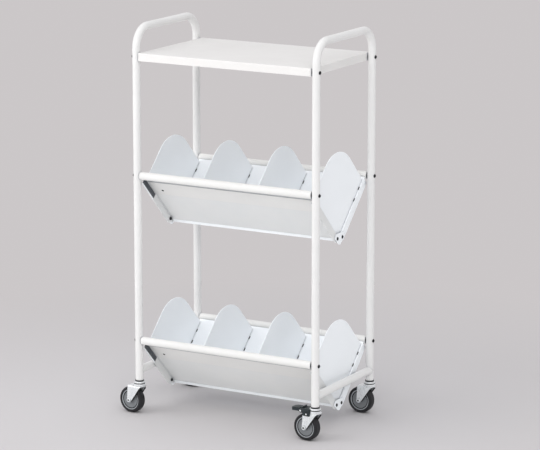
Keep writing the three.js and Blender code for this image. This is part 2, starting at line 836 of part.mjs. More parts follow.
// A cap over the rear of the fork with two ears, the pedal's pin pressed in them and a pin through the fork
function brakeHousingGeometry() {
  const skirtBottom = forkTop - brakeSkirtDrop;
  const coverTop = forkTop + brakeCoverRise;
  const forkRear = -forkRearReach - 2 * clearance;
  const cover = rectangle(-forkRearReach, -brakeSkirtFront, skirtBottom, coverTop);
  const forkSpace = rectangle(forkRear, forkFrontReach, skirtBottom - overrun, forkTop + clearance);
  const headSpace = disc(lowerRaceRadius + 2 * clearance, raceSides);
  const shell = cut(
    join(acrossY(cover, coverOuterHalf), ...earGeometries()),
    acrossY(forkSpace, coverInnerHalf),
    extrudeZ(headSpace, forkTop - overrun, coverTop + overrun),
  );
  const pinHalf = coverOuterHalf + pinProud;
  return join(
    shell,
    rodY(pivotPinRadius, boltSides, pinHalf, -pivotBack, pivotHeight),
    rodY(fixingPinRadius, boltSides, pinHalf, -fixingPinBack, forkTop - fixingPinDrop),
  );
}

// The shoe points past the axle when the pedal is up and at it when the pedal is down
function shoeGeometry(halfWidth) {
  const run = pivotBack - casterTrail;
  const drop = pivotHeight - axleHeight;
  const tyreCorner = axleHeight / Math.cos(Math.PI / wheelSides);
  const reach = Math.hypot(run, drop) - tyreCorner - clearance;
  const angle = -Math.atan2(drop, run) - THREE.MathUtils.degToRad(brakeTravelDegrees);
  return extrudeZ(rectangle(0, reach, -shoeThickness / 2, shoeThickness / 2), -halfWidth, halfWidth)
    .rotateZ(angle)
    .applyMatrix4(xzToY);
}

// The pedal rocks on its pin: the paddle goes down to brake and the bump goes down to release
function pedalGeometry() {
  const hubHalf = earInnerHalf - clearance;
  const rootBack = brakeEarRadius + pedalEarGap;
  const paddle = shapeOf([
    [-rootBack, -pedalRootDrop],
    [-rootBack, pedalRootRise],
    [-pedalKneeBack, pedalKneeRise],
    [-pedalTipBack, pedalTipRise],
    [-pedalTipBack, pedalTipRise - pedalTipThickness],
  ]);
  const bump = shapeOf([
    [0, 0],
    [pedalBumpFront, pedalBumpFoot],
    [pedalBumpCrest, pedalBumpRise],
    [0, pedalRootRise],
    [-rootBack - overrun, pedalRootRise],
    [-rootBack - overrun, 0],
  ]);
  const body = join(
    rodY(brakeEarRadius, headSides, hubHalf, 0, 0),
    acrossY(bump, pedalBumpWidth / 2),
    acrossY(paddle, pedalWidth / 2),
    shoeGeometry(hubHalf / 2),
  );
  const drilled = cut(body, rodY(pivotPinRadius + play, boltSides, pedalWidth, 0, 0));
  return drilled.translate(-pivotBack, 0, pivotHeight);
}

function addCaster(corner, { across, along, turnDegrees, braked }) {
  const [x, y] = [across * legX, along * legY];
  add(`${corner}_leg_socket`, socketGeometry(), blackPlastic).position.set(x, y, 0);
  add(`${corner}_caster_stem`, stemGeometry(), brightZinc).position.set(x, y, 0);
  const swivel = new THREE.Group();
  swivel.position.set(x, y, 0);
  swivel.rotation.z = THREE.MathUtils.degToRad(turnDegrees);
  cart.add(swivel);
  add(`${corner}_fork`, forkGeometry(braked), brightZinc, swivel);
  add(`${corner}_axle`, axleGeometry(), brightZinc, swivel);
  add(`${corner}_wheel_hub`, hubGeometry(), greyPlastic, swivel);
  add(`${corner}_tyre`, tyreGeometry(), rubber, swivel);
  if (braked) {
    add(`${corner}_brake_housing`, brakeHousingGeometry(), slatePlastic, swivel);
    add(`${corner}_brake_pedal`, pedalGeometry(), slatePlastic, swivel);
  }
}

addEndFrames();
addShelf();
addTrough("lower", lowerRailHeight);
addTrough("upper", upperRailHeight);
addFrameBolts();
for (const [corner, place] of Object.entries(casterPlaces)) {
  addCaster(corner, place);
}

// The origin is the middle of the whole cart's footprint, on the floor
cart.updateMatrixWorld(true);
const bounds = new THREE.Box3().setFromObject(cart, true);
const middle = bounds.getCenter(new THREE.Vector3());
cart.position.set(-middle.x, -middle.y, -bounds.min.z);

export default cart;
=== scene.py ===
# %% [markdown]
# # A medical chart cart
# The cart is a white tube frame on four small casters. It carries a flat shelf on top and two V-shaped
# troughs, where charts stand between dome-topped plates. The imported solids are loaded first, because they
# fix where everything is. Each of them is then replaced by a piece with finer curves, rounded edges and a
# real finish.

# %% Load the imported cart
import json

import bmesh
import bpy
import numpy as np
from mathutils import Euler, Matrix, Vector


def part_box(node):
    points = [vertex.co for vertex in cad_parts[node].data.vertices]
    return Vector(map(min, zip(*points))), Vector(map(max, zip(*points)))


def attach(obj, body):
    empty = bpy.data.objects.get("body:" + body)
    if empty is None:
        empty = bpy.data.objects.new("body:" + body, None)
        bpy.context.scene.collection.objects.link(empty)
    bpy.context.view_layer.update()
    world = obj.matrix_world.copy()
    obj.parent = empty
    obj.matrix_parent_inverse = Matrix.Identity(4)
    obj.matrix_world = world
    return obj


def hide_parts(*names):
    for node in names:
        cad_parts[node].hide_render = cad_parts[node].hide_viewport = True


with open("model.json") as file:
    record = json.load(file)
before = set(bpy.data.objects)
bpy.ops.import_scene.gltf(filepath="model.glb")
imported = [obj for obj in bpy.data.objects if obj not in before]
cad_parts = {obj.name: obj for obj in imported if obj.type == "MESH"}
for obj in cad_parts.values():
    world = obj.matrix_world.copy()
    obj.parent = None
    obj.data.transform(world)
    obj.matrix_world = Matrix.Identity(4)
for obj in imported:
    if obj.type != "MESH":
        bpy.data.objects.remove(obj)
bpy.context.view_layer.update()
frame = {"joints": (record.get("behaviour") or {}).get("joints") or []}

# %% [markdown]
# ## Where things are
# Every size here is in metres. The legs and the frame's heights are measured from the imported end frames,
# so that the pieces can't drift away from the solids; the tube's size is given. The cart's own middle is the
# point between its four legs.

# %% Measure the legs
tube_diameter = 0.0222
tube_radius = tube_diameter / 2

left_low, left_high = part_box("left_end_frame")
right_low, right_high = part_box("right_end_frame")
middle_x = (left_low.x + right_high.x) / 2
middle_y = (left_low.y + left_high.y) / 2
leg_x = (right_low.x + right_high.x) / 2 - middle_x
leg_y = (left_high.y - left_low.y) / 2 - tube_radius
leg_end_height = left_low.z
frame_height = left_high.z


def cart_spot(x, y, height, turn=0):
    """A place on the cart, measured from the point between its legs, and the turn of what is there."""
    return (middle_x + x, middle_y + y, height), turn


print(f"Legs at x {leg_x:.4f} and y {leg_y:.4f}, from {leg_end_height:.4f} up to {frame_height:.4f}")

# %% [markdown]
# ## From numbers to solids
# A solid is a grid of points and the faces between them. Most shapes of the cart are rings of points that
# follow one another: a circle carried along a bent tube, an outline carried straight through a plate, or a
# profile carried round an axle. One function makes the faces of a grid, and a few short ones lay the points
# out.

# %% Solids from rings
def grid_faces(rows, columns, rows_closed, columns_closed):
    """The four-sided faces of a grid of points. A closed direction is joined from its end to its start."""
    row = np.arange(rows if rows_closed else rows - 1)
    column = np.arange(columns if columns_closed else columns - 1)
    here_row, here_column = np.meshgrid(row, column, indexing="ij")
    next_row = (here_row + 1) % rows
    next_column = (here_column + 1) % columns
    corners = [(here_row, here_column), (here_row, next_column)]
    corners += [(next_row, next_column), (next_row, here_column)]
    numbers = [down * columns + along for down, along in corners]
    return np.stack(numbers, axis=-1).reshape(-1, len(corners)).tolist()


def ring_solid(rings, closed=False):
    """A skin through closed rings of points. It ends in flat caps, or runs on from the last to the first."""
    count, sides, axes = rings.shape
    faces = grid_faces(count, sides, closed, True)
    if not closed:
        first = np.arange(sides)
        faces += [first.tolist(), (first + (count - 1) * sides).tolist()]
    return rings.reshape(-1, axes), faces


def sheet_solid(top, under):
    """A sheet with a wall: each row of its top runs on into the same row of its underside, backwards."""
    rows, columns, axes = top.shape
    rings = np.concatenate([top, under[:, ::-1]], axis=1)
    faces = grid_faces(rows, 2 * columns, False, True)
    near = np.arange(columns - 1)
    far = 2 * columns - 1 - near
    edge = np.stack([near, near + 1, far - 1, far], axis=1)
    faces += edge.tolist() + (edge + (rows - 1) * 2 * columns).tolist()
    return rings.reshape(-1, axes), faces


# %% Where an outline stands
def along_x(points):
    """An outline in Y and Z, with its depth along X."""
    return points[..., [2, 0, 1]]


def along_y(points):
    """An outline in X and Z, with its depth along Y."""
    return points[..., [0, 2, 1]]


def along_z(points):
    """An outline in X and Y, with its depth along Z."""
    return points


def prism(outline, low, high, place=along_z):
    """An outline carried straight from one depth to another."""
    depths = np.array([low, high])
    depth_grid = np.broadcast_to(depths[:, None, None], (len(depths), len(outline), 1))
    outlines = np.broadcast_to(outline, (len(depths), *np.shape(outline)))
    return ring_solid(place(np.concatenate([outlines, depth_grid], axis=2)))


def prism_beside(outline, side, near, far, place):
    """A prism on one side of the middle, between two distances from it. Side is -1 or 1."""
    low, high = sorted([side * near, side * far])
    return prism(outline, low, high, place)


def moved(solid, offset, turn=0):
    """The solid turned about the vertical axis and then carried along an offset."""
    points, faces = solid
    cosine, sine = np.cos(turn), np.sin(turn)
    spin = np.array([[cosine, sine, 0], [-sine, cosine, 0], [0, 0, 1]])
    return points @ spin + np.asarray(offset), faces


# %% Round shapes
round_sides = 48
corner_steps = 4
full_turn = 2 * np.pi
quarter_turn = np.pi / 2
hex_corners = 6
hex_sector = full_turn / hex_corners


def rectangle(near, far, low, high):
    """The four corners of a rectangle, in the order of an outline."""
    return [(near, low), (far, low), (far, high), (near, high)]


def circle(radius, centre=(0, 0), sides=round_sides):
    """A circle of points: centre + radius * (cos t, sin t)."""
    turn = np.linspace(0, full_turn, sides, endpoint=False)
    return np.asarray(centre) + radius * np.stack([np.cos(turn), np.sin(turn)], axis=1)


def arc(centre, radius, start, end, steps):
    """Points on a part of a circle, from one angle to another."""
    turn = np.linspace(start, end, steps + 1)
    return np.asarray(centre) + radius * np.stack([np.cos(turn), np.sin(turn)], axis=1)


def rounded(points, radius, steps=corner_steps):
    """The closed outline with its corners rounded by quadratic curves. A curve starts and ends at most the
    corner share of the shorter side away from its corner. Each corner may have a radius of its own."""
    corner_share = 0.49
    points = np.asarray(points, float)
    before = np.roll(points, 1, axis=0) - points
    after = np.roll(points, -1, axis=0) - points
    before_length = np.linalg.norm(before, axis=1)
    after_length = np.linalg.norm(after, axis=1)
    reach = np.minimum(radius, corner_share * np.minimum(before_length, after_length))
    start = points + before * (reach / before_length)[:, None]
    end = points + after * (reach / after_length)[:, None]
    share = np.linspace(0, 1, steps + 1)[None, :, None]
    curve = (1 - share) ** 2 * start[:, None] + share**2 * end[:, None]
    curve += 2 * share * (1 - share) * points[:, None]
    return curve.reshape(-1, 2)


def turned(profile, place=along_z, hexed=0):
    """A closed profile of (radius, height) points carried round an axis. Where hexed is 1 instead of 0, the
    radius is that of a hexagon's corners, and the ring has flats."""
    turn = np.linspace(0, full_turn, round_sides, endpoint=False)[:, None]
    flat = np.cos(hex_sector / 2) / np.cos(turn % hex_sector - hex_sector / 2)
    radius, height = np.transpose(profile)
    reach = radius * (1 + np.broadcast_to(hexed, radius.shape) * (flat - 1))
    rings = np.stack([reach * np.cos(turn), reach * np.sin(turn), height + 0 * turn], axis=-1)
    return ring_solid(place(rings), closed=True)


def both_halves(half):
    """Half a profile, followed by its mirror image on the other side of height zero."""
    return [*half, *[(radius, -height) for radius, height in reversed(half)]]


def tube(path, outward, across, radius):
    """A circle carried along a path: path + radius * (cos t * outward + sin t * across)."""
    turn = np.linspace(0, full_turn, round_sides, endpoint=False)[None, :, None]
    rings = path[:, None] + radius * (np.cos(turn) * outward[:, None] + np.sin(turn) * np.asarray(across))
    return ring_solid(rings)


# %% [markdown]
# ## From solids to pieces
# A piece is one Blender object made of a few closed solids. Each solid has its double points merged and its
# faces turned outwards before it joins the others. A narrow bevel catches the light along the edges, as the
# rolled edge of real sheet does, and weighted normals keep the flat faces flat beside it.

# %% Make a piece
merge_distance = 0.000002
crease_angle = np.radians(32)
bevel_angle = np.radians(40)
bevel_steps = 2
fine_edge = 0.0002
sheet_edge = 0.0003


def closed_shell(points, faces):
    """One solid as a mesh, with its doubles merged and its faces outwards."""
    mesh = bpy.data.meshes.new("shell")
    mesh.from_pydata(points.tolist(), [], faces)
    shell = bmesh.new()
    shell.from_mesh(mesh)
    bmesh.ops.remove_doubles(shell, verts=shell.verts, dist=merge_distance)
    bmesh.ops.dissolve_degenerate(shell, edges=shell.edges, dist=merge_distance)
    bmesh.ops.recalc_face_normals(shell, faces=shell.faces)
    shell.to_mesh(mesh)
    shell.free()
    return mesh


def joined_mesh(name, solids, place):
    """All solids of a piece in one mesh, where the piece stands."""
    offset, turn = place
    whole = bmesh.new()
    for solid in solids:
        shell = closed_shell(*moved(solid, offset, turn))
        whole.from_mesh(shell)
        bpy.data.meshes.remove(shell)
    mesh = bpy.data.meshes.new(name)
    whole.to_mesh(mesh)
    whole.free()
    mesh.shade_smooth()
    mesh.set_sharp_from_angle(angle=crease_angle)
    return mesh


def piece(name, solids, finish, slot, replaced=(), body="cart", place=cart_spot(0, 0, 0), bevel=0):
    """A named piece that rides on a body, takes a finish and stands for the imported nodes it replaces."""
    shown = bpy.data.objects.new(name, joined_mesh(name, solids, place))
    bpy.context.scene.collection.objects.link(shown)
    shown.data.materials.append(finish)
    if bevel:
        edge = shown.modifiers.new("rolled edges", "BEVEL")
        edge.width = bevel
        edge.segments = bevel_steps
        edge.limit_method = "ANGLE"
        edge.angle_limit = bevel_angle
    weighted = shown.modifiers.new("flat faces", "WEIGHTED_NORMAL")
    weighted.keep_sharp = True
    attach(shown, body)
    if replaced:
        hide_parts(*replaced)
    return shown


# %% [markdown]
# ## Finishes
# Every finish is worked out from the place on the object, so nothing slides when the camera moves. Soft
# noise stands for the small differences that a real coat has: in its colour, in how glossy it is, and in
# its relief. A short call makes a node, and another joins it to what feeds it.

# %% Nodes in short calls
screen_gamma = 2.2
screen_white = 255


def screen_colour(red, green, blue):
    """The light that a screen gives for these numbers: each share of white to the screen's gamma."""
    light = (np.array([red, green, blue]) / screen_white) ** screen_gamma
    return (*light.tolist(), 1)


def feed(tree, socket, value):
    """Joins a socket to another node's output, or sets it to a number or a colour."""
    if isinstance(value, bpy.types.NodeSocket):
        tree.links.new(value, socket)
    else:
        socket.default_value = value


def node(tree, kind, inputs=None, **options):
    """One node of a kind, with its options and inputs."""
    made = tree.nodes.new(kind)
    for option, value in options.items():
        setattr(made, option, value)
    for name, value in (inputs or {}).items():
        feed(tree, made.inputs[name], value)
    return made


def blended(tree, share, first, second, way="MIX"):
    """The second colour laid over the first by a share."""
    mix = node(tree, "ShaderNodeMix", data_type="RGBA", blend_type=way)
    inputs = {socket.identifier: socket for socket in mix.inputs}
    feed(tree, inputs["Factor_Float"], share)
    feed(tree, inputs["A_Color"], first)
    feed(tree, inputs["B_Color"], second)
    return next(socket for socket in mix.outputs if socket.identifier == "Result_Color")


# %% Noise, relief and corners
noise_low = 0.3
noise_high = 0.7
plain_detail = 2
corner_samples = 8


def noise(tree, spot, stretch=(1, 1, 1), detail=plain_detail):
    """Soft random grey over a piece from 0 to 1, in Object coordinates. Spot is the size of its spots."""
    place = node(tree, "ShaderNodeTexCoord").outputs["Object"]
    stretched = node(tree, "ShaderNodeMapping", {"Vector": place, "Scale": stretch}).outputs["Vector"]
    grey = node(tree, "ShaderNodeTexNoise", {"Vector": stretched, "Scale": 1 / spot, "Detail": detail})
    return spread(tree, grey.outputs["Fac"], 0, 1, noise_low, noise_high)


def spread(tree, value, low, high, from_low=0, from_high=1):
    """A grey laid out evenly between two numbers."""
    limits = {"Value": value, "From Min": from_low, "From Max": from_high, "To Min": low, "To Max": high}
    return node(tree, "ShaderNodeMapRange", limits).outputs["Result"]


def relief(tree, height, depth):
    """A bump that rises by the depth where the height is 1."""
    return node(tree, "ShaderNodeBump", {"Height": height, "Distance": depth}).outputs["Normal"]


def openness(tree, reach):
    """Near 0 in corners and gaps, and 1 on open faces, judged over a short reach."""
    occlusion = node(tree, "ShaderNodeAmbientOcclusion", {"Distance": reach}, samples=corner_samples)
    return occlusion.outputs["AO"]


def new_finish(name, constants):
    """A material, its nodes and its shader, with the inputs set that are the same all over."""
    material = bpy.data.materials.new(name)
    material.use_nodes = True
    shader = material.node_tree.nodes["Principled BSDF"]
    for socket, value in constants.items():
        shader.inputs[socket].default_value = value
    return material, material.node_tree, shader


# %% [markdown]
# ## White powder coat
# The frame, the shelf, the troughs and the plates are steel under a thick white coat that was baked on as
# powder. It melts into a skin like that of an orange, a little under a millimetre from crest to crest, with
# a soft gloss. In corners and gaps its colour is darkened toward a grey as painted shade. Five mixes are
# made. The frame and the rails are warm, the shelf is the warmest, the trough sides are neutral, and the
# plates are bluer. Two mixes also differ in brightness as painted light. The shelf's is a touch darker,
# painted shade against the strong light on its top. The plates' is brighter, painted light for the
# plates, the rear sides, the hems and the brackets.

# %% Powder coat
peel_spot = 0.0011
peel_depth = 0.000006
cloud_spot = 0.09
cloud_detail = 4
gloss_spot = 0.03
# Painted shade: how far the darkening of corners reaches, and the grey it darkens toward.
corner_shade_reach = 0.006
painted_corner_shade = screen_colour(165, 168, 173)
soft_gloss = (0.4, 0.5)
panel_gloss = (0.42, 0.52)
dull_gloss = (0.44, 0.54)


def powder_coat(name, tone, clouded, gloss):
    """A white coat: slow clouds of a second tone, painted shade in the corners, uneven gloss and the orange
    skin.
    The tones are numbers on a screen, and gloss is the least and the most roughness."""
    constants = {"Specular IOR Level": 0.35, "Coat Weight": 0.12, "Coat Roughness": 0.2, "Coat IOR": 1.5}
    material, tree, shader = new_finish(name, constants)
    patches = noise(tree, cloud_spot, detail=cloud_detail)
    clouds = blended(tree, patches, screen_colour(*tone), screen_colour(*clouded))
    # Painted shade: the colour goes toward that grey where the faces are closed in.
    corner_shade = spread(tree, openness(tree, corner_shade_reach), 1, 0)
    feed(tree, shader.inputs["Base Color"], blended(tree, corner_shade, clouds, painted_corner_shade))
    feed(tree, shader.inputs["Roughness"], spread(tree, noise(tree, gloss_spot), *gloss))
    feed(tree, shader.inputs["Normal"], relief(tree, noise(tree, peel_spot), peel_depth))
    return material


frame_paint = powder_coat("frame powder coat", (227, 226, 225), (224, 223, 222), soft_gloss)
rail_paint = powder_coat("rail powder coat", (227, 226, 224), (224, 223, 221), soft_gloss)
panel_paint = powder_coat("panel powder coat", (225, 225, 224), (221, 222, 222), panel_gloss)
# The plates' coat is brighter than the others: painted light. It is also used on the rear sides, the hems
# and the brackets.
plate_paint = powder_coat("plate powder coat", (244, 247, 250), (242, 245, 248), dull_gloss)
# The shelf's coat is a touch darker than the frame's: painted shade against the strong light on its top.
shelf_paint = powder_coat("shelf powder coat", (226, 224, 222), (223, 221, 219), dull_gloss)
print("Powder coats:", frame_paint.name, "/", panel_paint.name, "/", plate_paint.name)

# %% [markdown]
# ## Zinc and dark steel
# The fork, the races and the axle of a caster are steel with bright zinc on it: nearly white, with faint
# cloudy crystals and fine lines from the press. The shader is part metal and part paint, because pure metal
# would show little more than the empty studio. The bolts have a black oxide instead. Both are darkened in
# corners and gaps as painted shade.

# %% Metals
crystal_spot = 0.009
crystal_detail = 3
line_spot = 0.0007
line_stretch = (1, 1, 0.06)
line_depth = 0.000001
# Painted shade: how far the darkening of corners reaches, and the grey it darkens toward.
metal_shade_reach = 0.003
metal_shade_tone = screen_colour(96, 98, 100)
zinc_gloss = (0.26, 0.38)
oxide_gloss = (0.36, 0.5)


def plated_steel(name, bright, dull, gloss):
    """Steel with a thin coat: crystals of two tones, painted shade in its corners, and press lines in its
    gloss and its relief.
    """
    material, tree, shader = new_finish(name, {"Metallic": 0.65})
    patches = noise(tree, crystal_spot, detail=crystal_detail)
    crystals = blended(tree, patches, screen_colour(*bright), screen_colour(*dull))
    # Painted shade: the colour goes toward that grey where the faces are closed in.
    metal_shade = spread(tree, openness(tree, metal_shade_reach), 1, 0)
    lines = noise(tree, line_spot, stretch=line_stretch)
    feed(tree, shader.inputs["Base Color"], blended(tree, metal_shade, crystals, metal_shade_tone))
    feed(tree, shader.inputs["Roughness"], spread(tree, lines, *gloss))
    feed(tree, shader.inputs["Normal"], relief(tree, lines, line_depth))
    return material


bright_zinc = plated_steel("bright zinc", (246, 249, 250), (238, 242, 244), zinc_gloss)
black_oxide = plated_steel("black oxide", (48, 48, 51), (36, 36, 40), oxide_gloss)
print("Metals:", bright_zinc.name, "/", black_oxide.name)

# %% [markdown]
# ## Plastic and rubber
# The hubs, the brake parts and the leg sockets are moulded, with the fine even grain of an etched mould.
# The dark grey sheets on the left flanges and the grey sheets under the front rails are made the same way,
# and paint the shade there. A nearly black mix paints the shade in the gaps between the races, in the hubs'
# grooves, in recesses, slots and narrow gaps, and also colours the foot screws. A paler grey paints the
# highlight on the rims of the hubs. The tyres are a hard dark rubber that picks up some floor dust, so their
# tone and gloss are patchier.

# %% Moulded finishes
mould_spot = 0.0006
mould_depth = 0.000012
patch_detail = 5
hub_patch = 0.012
small_patch = 0.008
flange_shade_patch = 0.006
rail_gap_shade_patch = 0.02
tyre_patch = 0.018
smooth_gloss = (0.34, 0.46)
hub_gloss = (0.38, 0.5)
socket_gloss = (0.42, 0.55)
matt_gloss = (0.5, 0.6)
rubber_gloss = (0.5, 0.66)


def moulded(name, tone, second_tone, patch_spot, gloss):
    """A moulded surface: patches of two tones, uneven gloss and the grain of the mould."""
    material, tree, shader = new_finish(name, {"Specular IOR Level": 0.45})
    patches = noise(tree, patch_spot, detail=patch_detail)
    tones = blended(tree, patches, screen_colour(*tone), screen_colour(*second_tone))
    feed(tree, shader.inputs["Base Color"], tones)
    feed(tree, shader.inputs["Roughness"], spread(tree, patches, *gloss))
    feed(tree, shader.inputs["Normal"], relief(tree, noise(tree, mould_spot), mould_depth))
    return material


hub_grey = moulded("hub grey", (122, 125, 128), (114, 117, 120), hub_patch, hub_gloss)
# A paler copy of the hub's grey that paints the highlight on the rim.
rim_highlight_grey = moulded("rim highlight grey", (176, 180, 184), (166, 170, 175), hub_patch, smooth_gloss)
slate_plastic = moulded("slate plastic", (42, 51, 54), (34, 41, 44), small_patch, smooth_gloss)
socket_black = moulded("socket black", (42, 43, 46), (36, 37, 40), small_patch, socket_gloss)
# Nearly black: paints the shade in gaps, grooves, recesses and slots, and colours the foot screws.
shade_and_screw_black = moulded("shade and screw black", (17, 17, 19), (23, 23, 25), small_patch, matt_gloss)
# A dark grey that paints the shade on the left flanges.
flange_shade_grey = moulded("flange shade grey", (86, 89, 94), (70, 73, 78), flange_shade_patch, matt_gloss)
# A mid grey that paints the shade in the gap under each front rail.
rail_gap_shade_grey = moulded("rail gap shade grey", (172, 174, 177), (160, 162, 165), rail_gap_shade_patch, matt_gloss)
tyre_rubber = moulded("tyre rubber", (26, 26, 29), (38, 38, 42), tyre_patch, rubber_gloss)
print("Moulded finishes:", hub_grey.name, "/", slate_plastic.name, "/", tyre_rubber.name)

# %% [markdown]
# ## End frames
# Each end frame is one tube, bent over the top as a handle and down as two legs, with a shorter tube welded
# across low down. A circle is carried along the bent path with many stops in the bends and none on the
# straights. The welds are thin rippled beads along the curve where the two tubes meet.

# %% The bent tube
bend_radius = 0.056
bend_steps = 18
unit_x = np.array([1, 0, 0])
unit_z = np.array([0, 0, 1])


def bent_tube():
    """Up the front leg, round two quarter bends and down the rear leg. At each stop the tube's centre lies
    the bend radius away from the bend's centre, in the outward direction (0, cos a, sin a)."""
    quarter = np.linspace(0, quarter_turn, bend_steps + 1)
    turn = np.concatenate([[np.pi], np.pi - quarter, quarter_turn - quarter, [0]])
    side = np.repeat([-1, 1], bend_steps + 2)
    outward = np.stack([0 * turn, np.cos(turn), np.sin(turn)], axis=1)
    centre_z = frame_height - tube_radius - bend_radius
    centres = np.stack([0 * turn, side * (leg_y - bend_radius), 0 * turn + centre_z], axis=1)
    path = centres + bend_radius * outward
    path[[0, -1], 2] = leg_end_height
    return tube(path, outward, unit_x, tube_radius)


# %% The cross tube and its welds
cross_tube_rise = 0.0285
cross_tube_height = leg_end_height + cross_tube_rise
bead_radius = 0.0014
bead_sides = 10
bead_steps = 96
bead_ripples = 36
ripple_share = 0.12


def cross_tube():
    """A straight tube from the middle of one leg to the middle of the other."""
    path = np.array([[0, -leg_y, cross_tube_height], [0, leg_y, cross_tube_height]])
    return tube(path, np.stack([unit_z, unit_z]), unit_x, tube_radius)


def weld_bead(side):
    """A rippled bead along the seam of two tubes of one size. The seam lies at the tube's circle (cos a,
    sin a), and as far before the leg's middle as the circle is above or below the cross tube's middle."""
    around = np.linspace(0, full_turn, bead_steps, endpoint=False)[:, None]
    section = np.linspace(0, full_turn, bead_sides, endpoint=False)[None, :]
    bead = bead_radius * (1 + ripple_share * np.cos(bead_ripples * around))
    reach = tube_radius + bead * np.cos(section)
    along = side * (leg_y - np.abs(tube_radius * np.sin(around))) + bead * np.sin(section)
    rings = [reach * np.cos(around), along, cross_tube_height + reach * np.sin(around)]
    return ring_solid(np.stack(rings, axis=-1), closed=True)


# %% Both end frames
for side_name, side in {"left": -1, "right": 1}.items():
    solids = [bent_tube(), cross_tube(), weld_bead(-1), weld_bead(1)]
    frame_node = f"{side_name}_end_frame"
    place = cart_spot(side * leg_x, 0, 0)
    made = piece(f"{side_name}_bent_tube", solids, frame_paint, "frame_paint", [frame_node], place=place)
    print(made.name, "has", len(made.data.polygons), "faces")

# %% [markdown]
# ## Top shelf
# The shelf is a steel sheet whose four edges are bent down into an apron. Its outline is a rectangle with
# small rounded corners, and the profile goes over the bend, down the apron, round its lower edge and up
# again inside. A nut is welded behind the apron at each leg.

# %% The shelf's shell
piece_gap = 0.0003
inner_x = leg_x - tube_radius - piece_gap
shelf_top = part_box("top_shelf")[1].z
shelf_apron = 0.022
shelf_sheet = 0.0015
shelf_bend = 0.0028
shelf_corner = 0.003
least_corner = 0.0004
shelf_half_y = leg_y + tube_radius


def shelf_profile():
    """Pairs of (inset from the outer face, height), with a quarter circle for each face of the bend."""
    bend_centre = (shelf_bend, shelf_top - shelf_bend)
    outer = arc(bend_centre, shelf_bend, quarter_turn, np.pi, corner_steps)
    inner = arc(bend_centre, shelf_bend - shelf_sheet, np.pi, quarter_turn, corner_steps)
    bottom = shelf_top - shelf_apron
    return np.concatenate([outer, [[0, bottom]], [[shelf_sheet, bottom]], inner])


def shelf_shell():
    """A rounded rectangle for each point of the profile, drawn in by its inset."""
    inset, height = shelf_profile().T[:, :, None]
    radius = np.maximum(shelf_corner - inset, least_corner)
    turn = np.linspace(0, quarter_turn, corner_steps + 1)
    turns = np.concatenate([turn + corner * quarter_turn for corner in range(4)])
    sign_x = np.repeat([1, -1, -1, 1], corner_steps + 1)
    sign_y = np.repeat([1, 1, -1, -1], corner_steps + 1)
    x = sign_x * (inner_x - inset - radius) + radius * np.cos(turns)
    y = sign_y * (shelf_half_y - inset - radius) + radius * np.sin(turns)
    return ring_solid(np.stack([x, y, height + 0 * x], axis=-1))


# %% Nuts, and the whole shelf
nut_corner = 0.0058
nut_height = 0.0048
nut_hole = 0.0032
nut_chamfer = 0.0008
shelf_bolt_height = shelf_top - (shelf_apron + shelf_sheet) / 2


def hex_nut(corner, height, hole):
    """A hexagon with both outer edges turned round, and a round hole."""
    profile = [(hole, 0), (corner - nut_chamfer, 0), (corner, nut_chamfer)]
    profile += [(corner, height - nut_chamfer), (corner - nut_chamfer, height), (hole, height)]
    return turned(profile, along_x, hexed=[0, 0, 1, 1, 0, 0])


nut = hex_nut(nut_corner, nut_height, nut_hole)
nut_start = inner_x - shelf_sheet - nut_height
shelf_nuts = [
    moved(nut, (side * nut_start, end * leg_y, shelf_bolt_height), turn)
    for side, turn in [(1, 0), (-1, np.pi)]
    for end in [-1, 1]
]
shelf_solids = [shelf_shell(), *shelf_nuts]
shelf = piece("shelf_sheet", shelf_solids, shelf_paint, "frame_paint", ["top_shelf"], bevel=sheet_edge)
print("The shelf is", [round(size, 3) for size in shelf.dimensions], "in metres")

# %% [markdown]
# ## Troughs
# A trough is two sides that meet in a V. Each side hangs on a rail between two legs: its sheet slopes down,
# turns into a lip along the seam, and rolls over at both ends into a flange. The front side is the rear one
# turned half round, so only the rear side is worked out. On it, s runs up the slope from the seam and n
# toward the inside. The front side also has a strip of sheet on its outer face, a thin grey sheet above it
# that paints the shade in the gap under the rail, a thin dark sheet on its left flange that paints the
# shade there, and hems where the free edges of its flanges and its lip are folded over. The hems and the
# rear sides take the brighter plate coat, as painted light.

# %% The slope's own directions
lower_rail_height = 0.2125
upper_rail_height = 0.6845
slope = np.radians(45)
sheet_inset = 0.0058
trough_sheet = 0.0015
trough_end_gap = 0.0026
trough_drop = leg_y * np.tan(slope) - sheet_inset / np.cos(slope)
trough_half = inner_x - trough_end_gap
rail_s = leg_y * np.cos(slope) + trough_drop * np.sin(slope)


def on_slope(points):
    """Points of (x, s, n) laid on the rear side's slope."""
    x, s, n = np.moveaxis(points, -1, 0)
    y = np.cos(slope) * s - np.sin(slope) * n
    z = np.sin(slope) * s + np.cos(slope) * n - trough_drop
    return np.stack([x, y, z], axis=-1)


def slope_point(s, n):
    """One place on the slope, as its Y and Z."""
    return on_slope(np.array([0, s, n]))[1:]


# %% The sheet with its lip and its rolled ends
lip_bend = 0.012
lip_outer = 0.0018
lip_length = 0.0075
lip_bottom = -trough_drop - lip_length
lip_steps = 8
roll_radius = 0.0028
roll_steps = 6
bend_y = lip_outer + lip_bend
bend_z = bend_y * np.tan(slope) - trough_drop - lip_bend / np.cos(slope)
sheet_top_s = rail_s - tube_radius


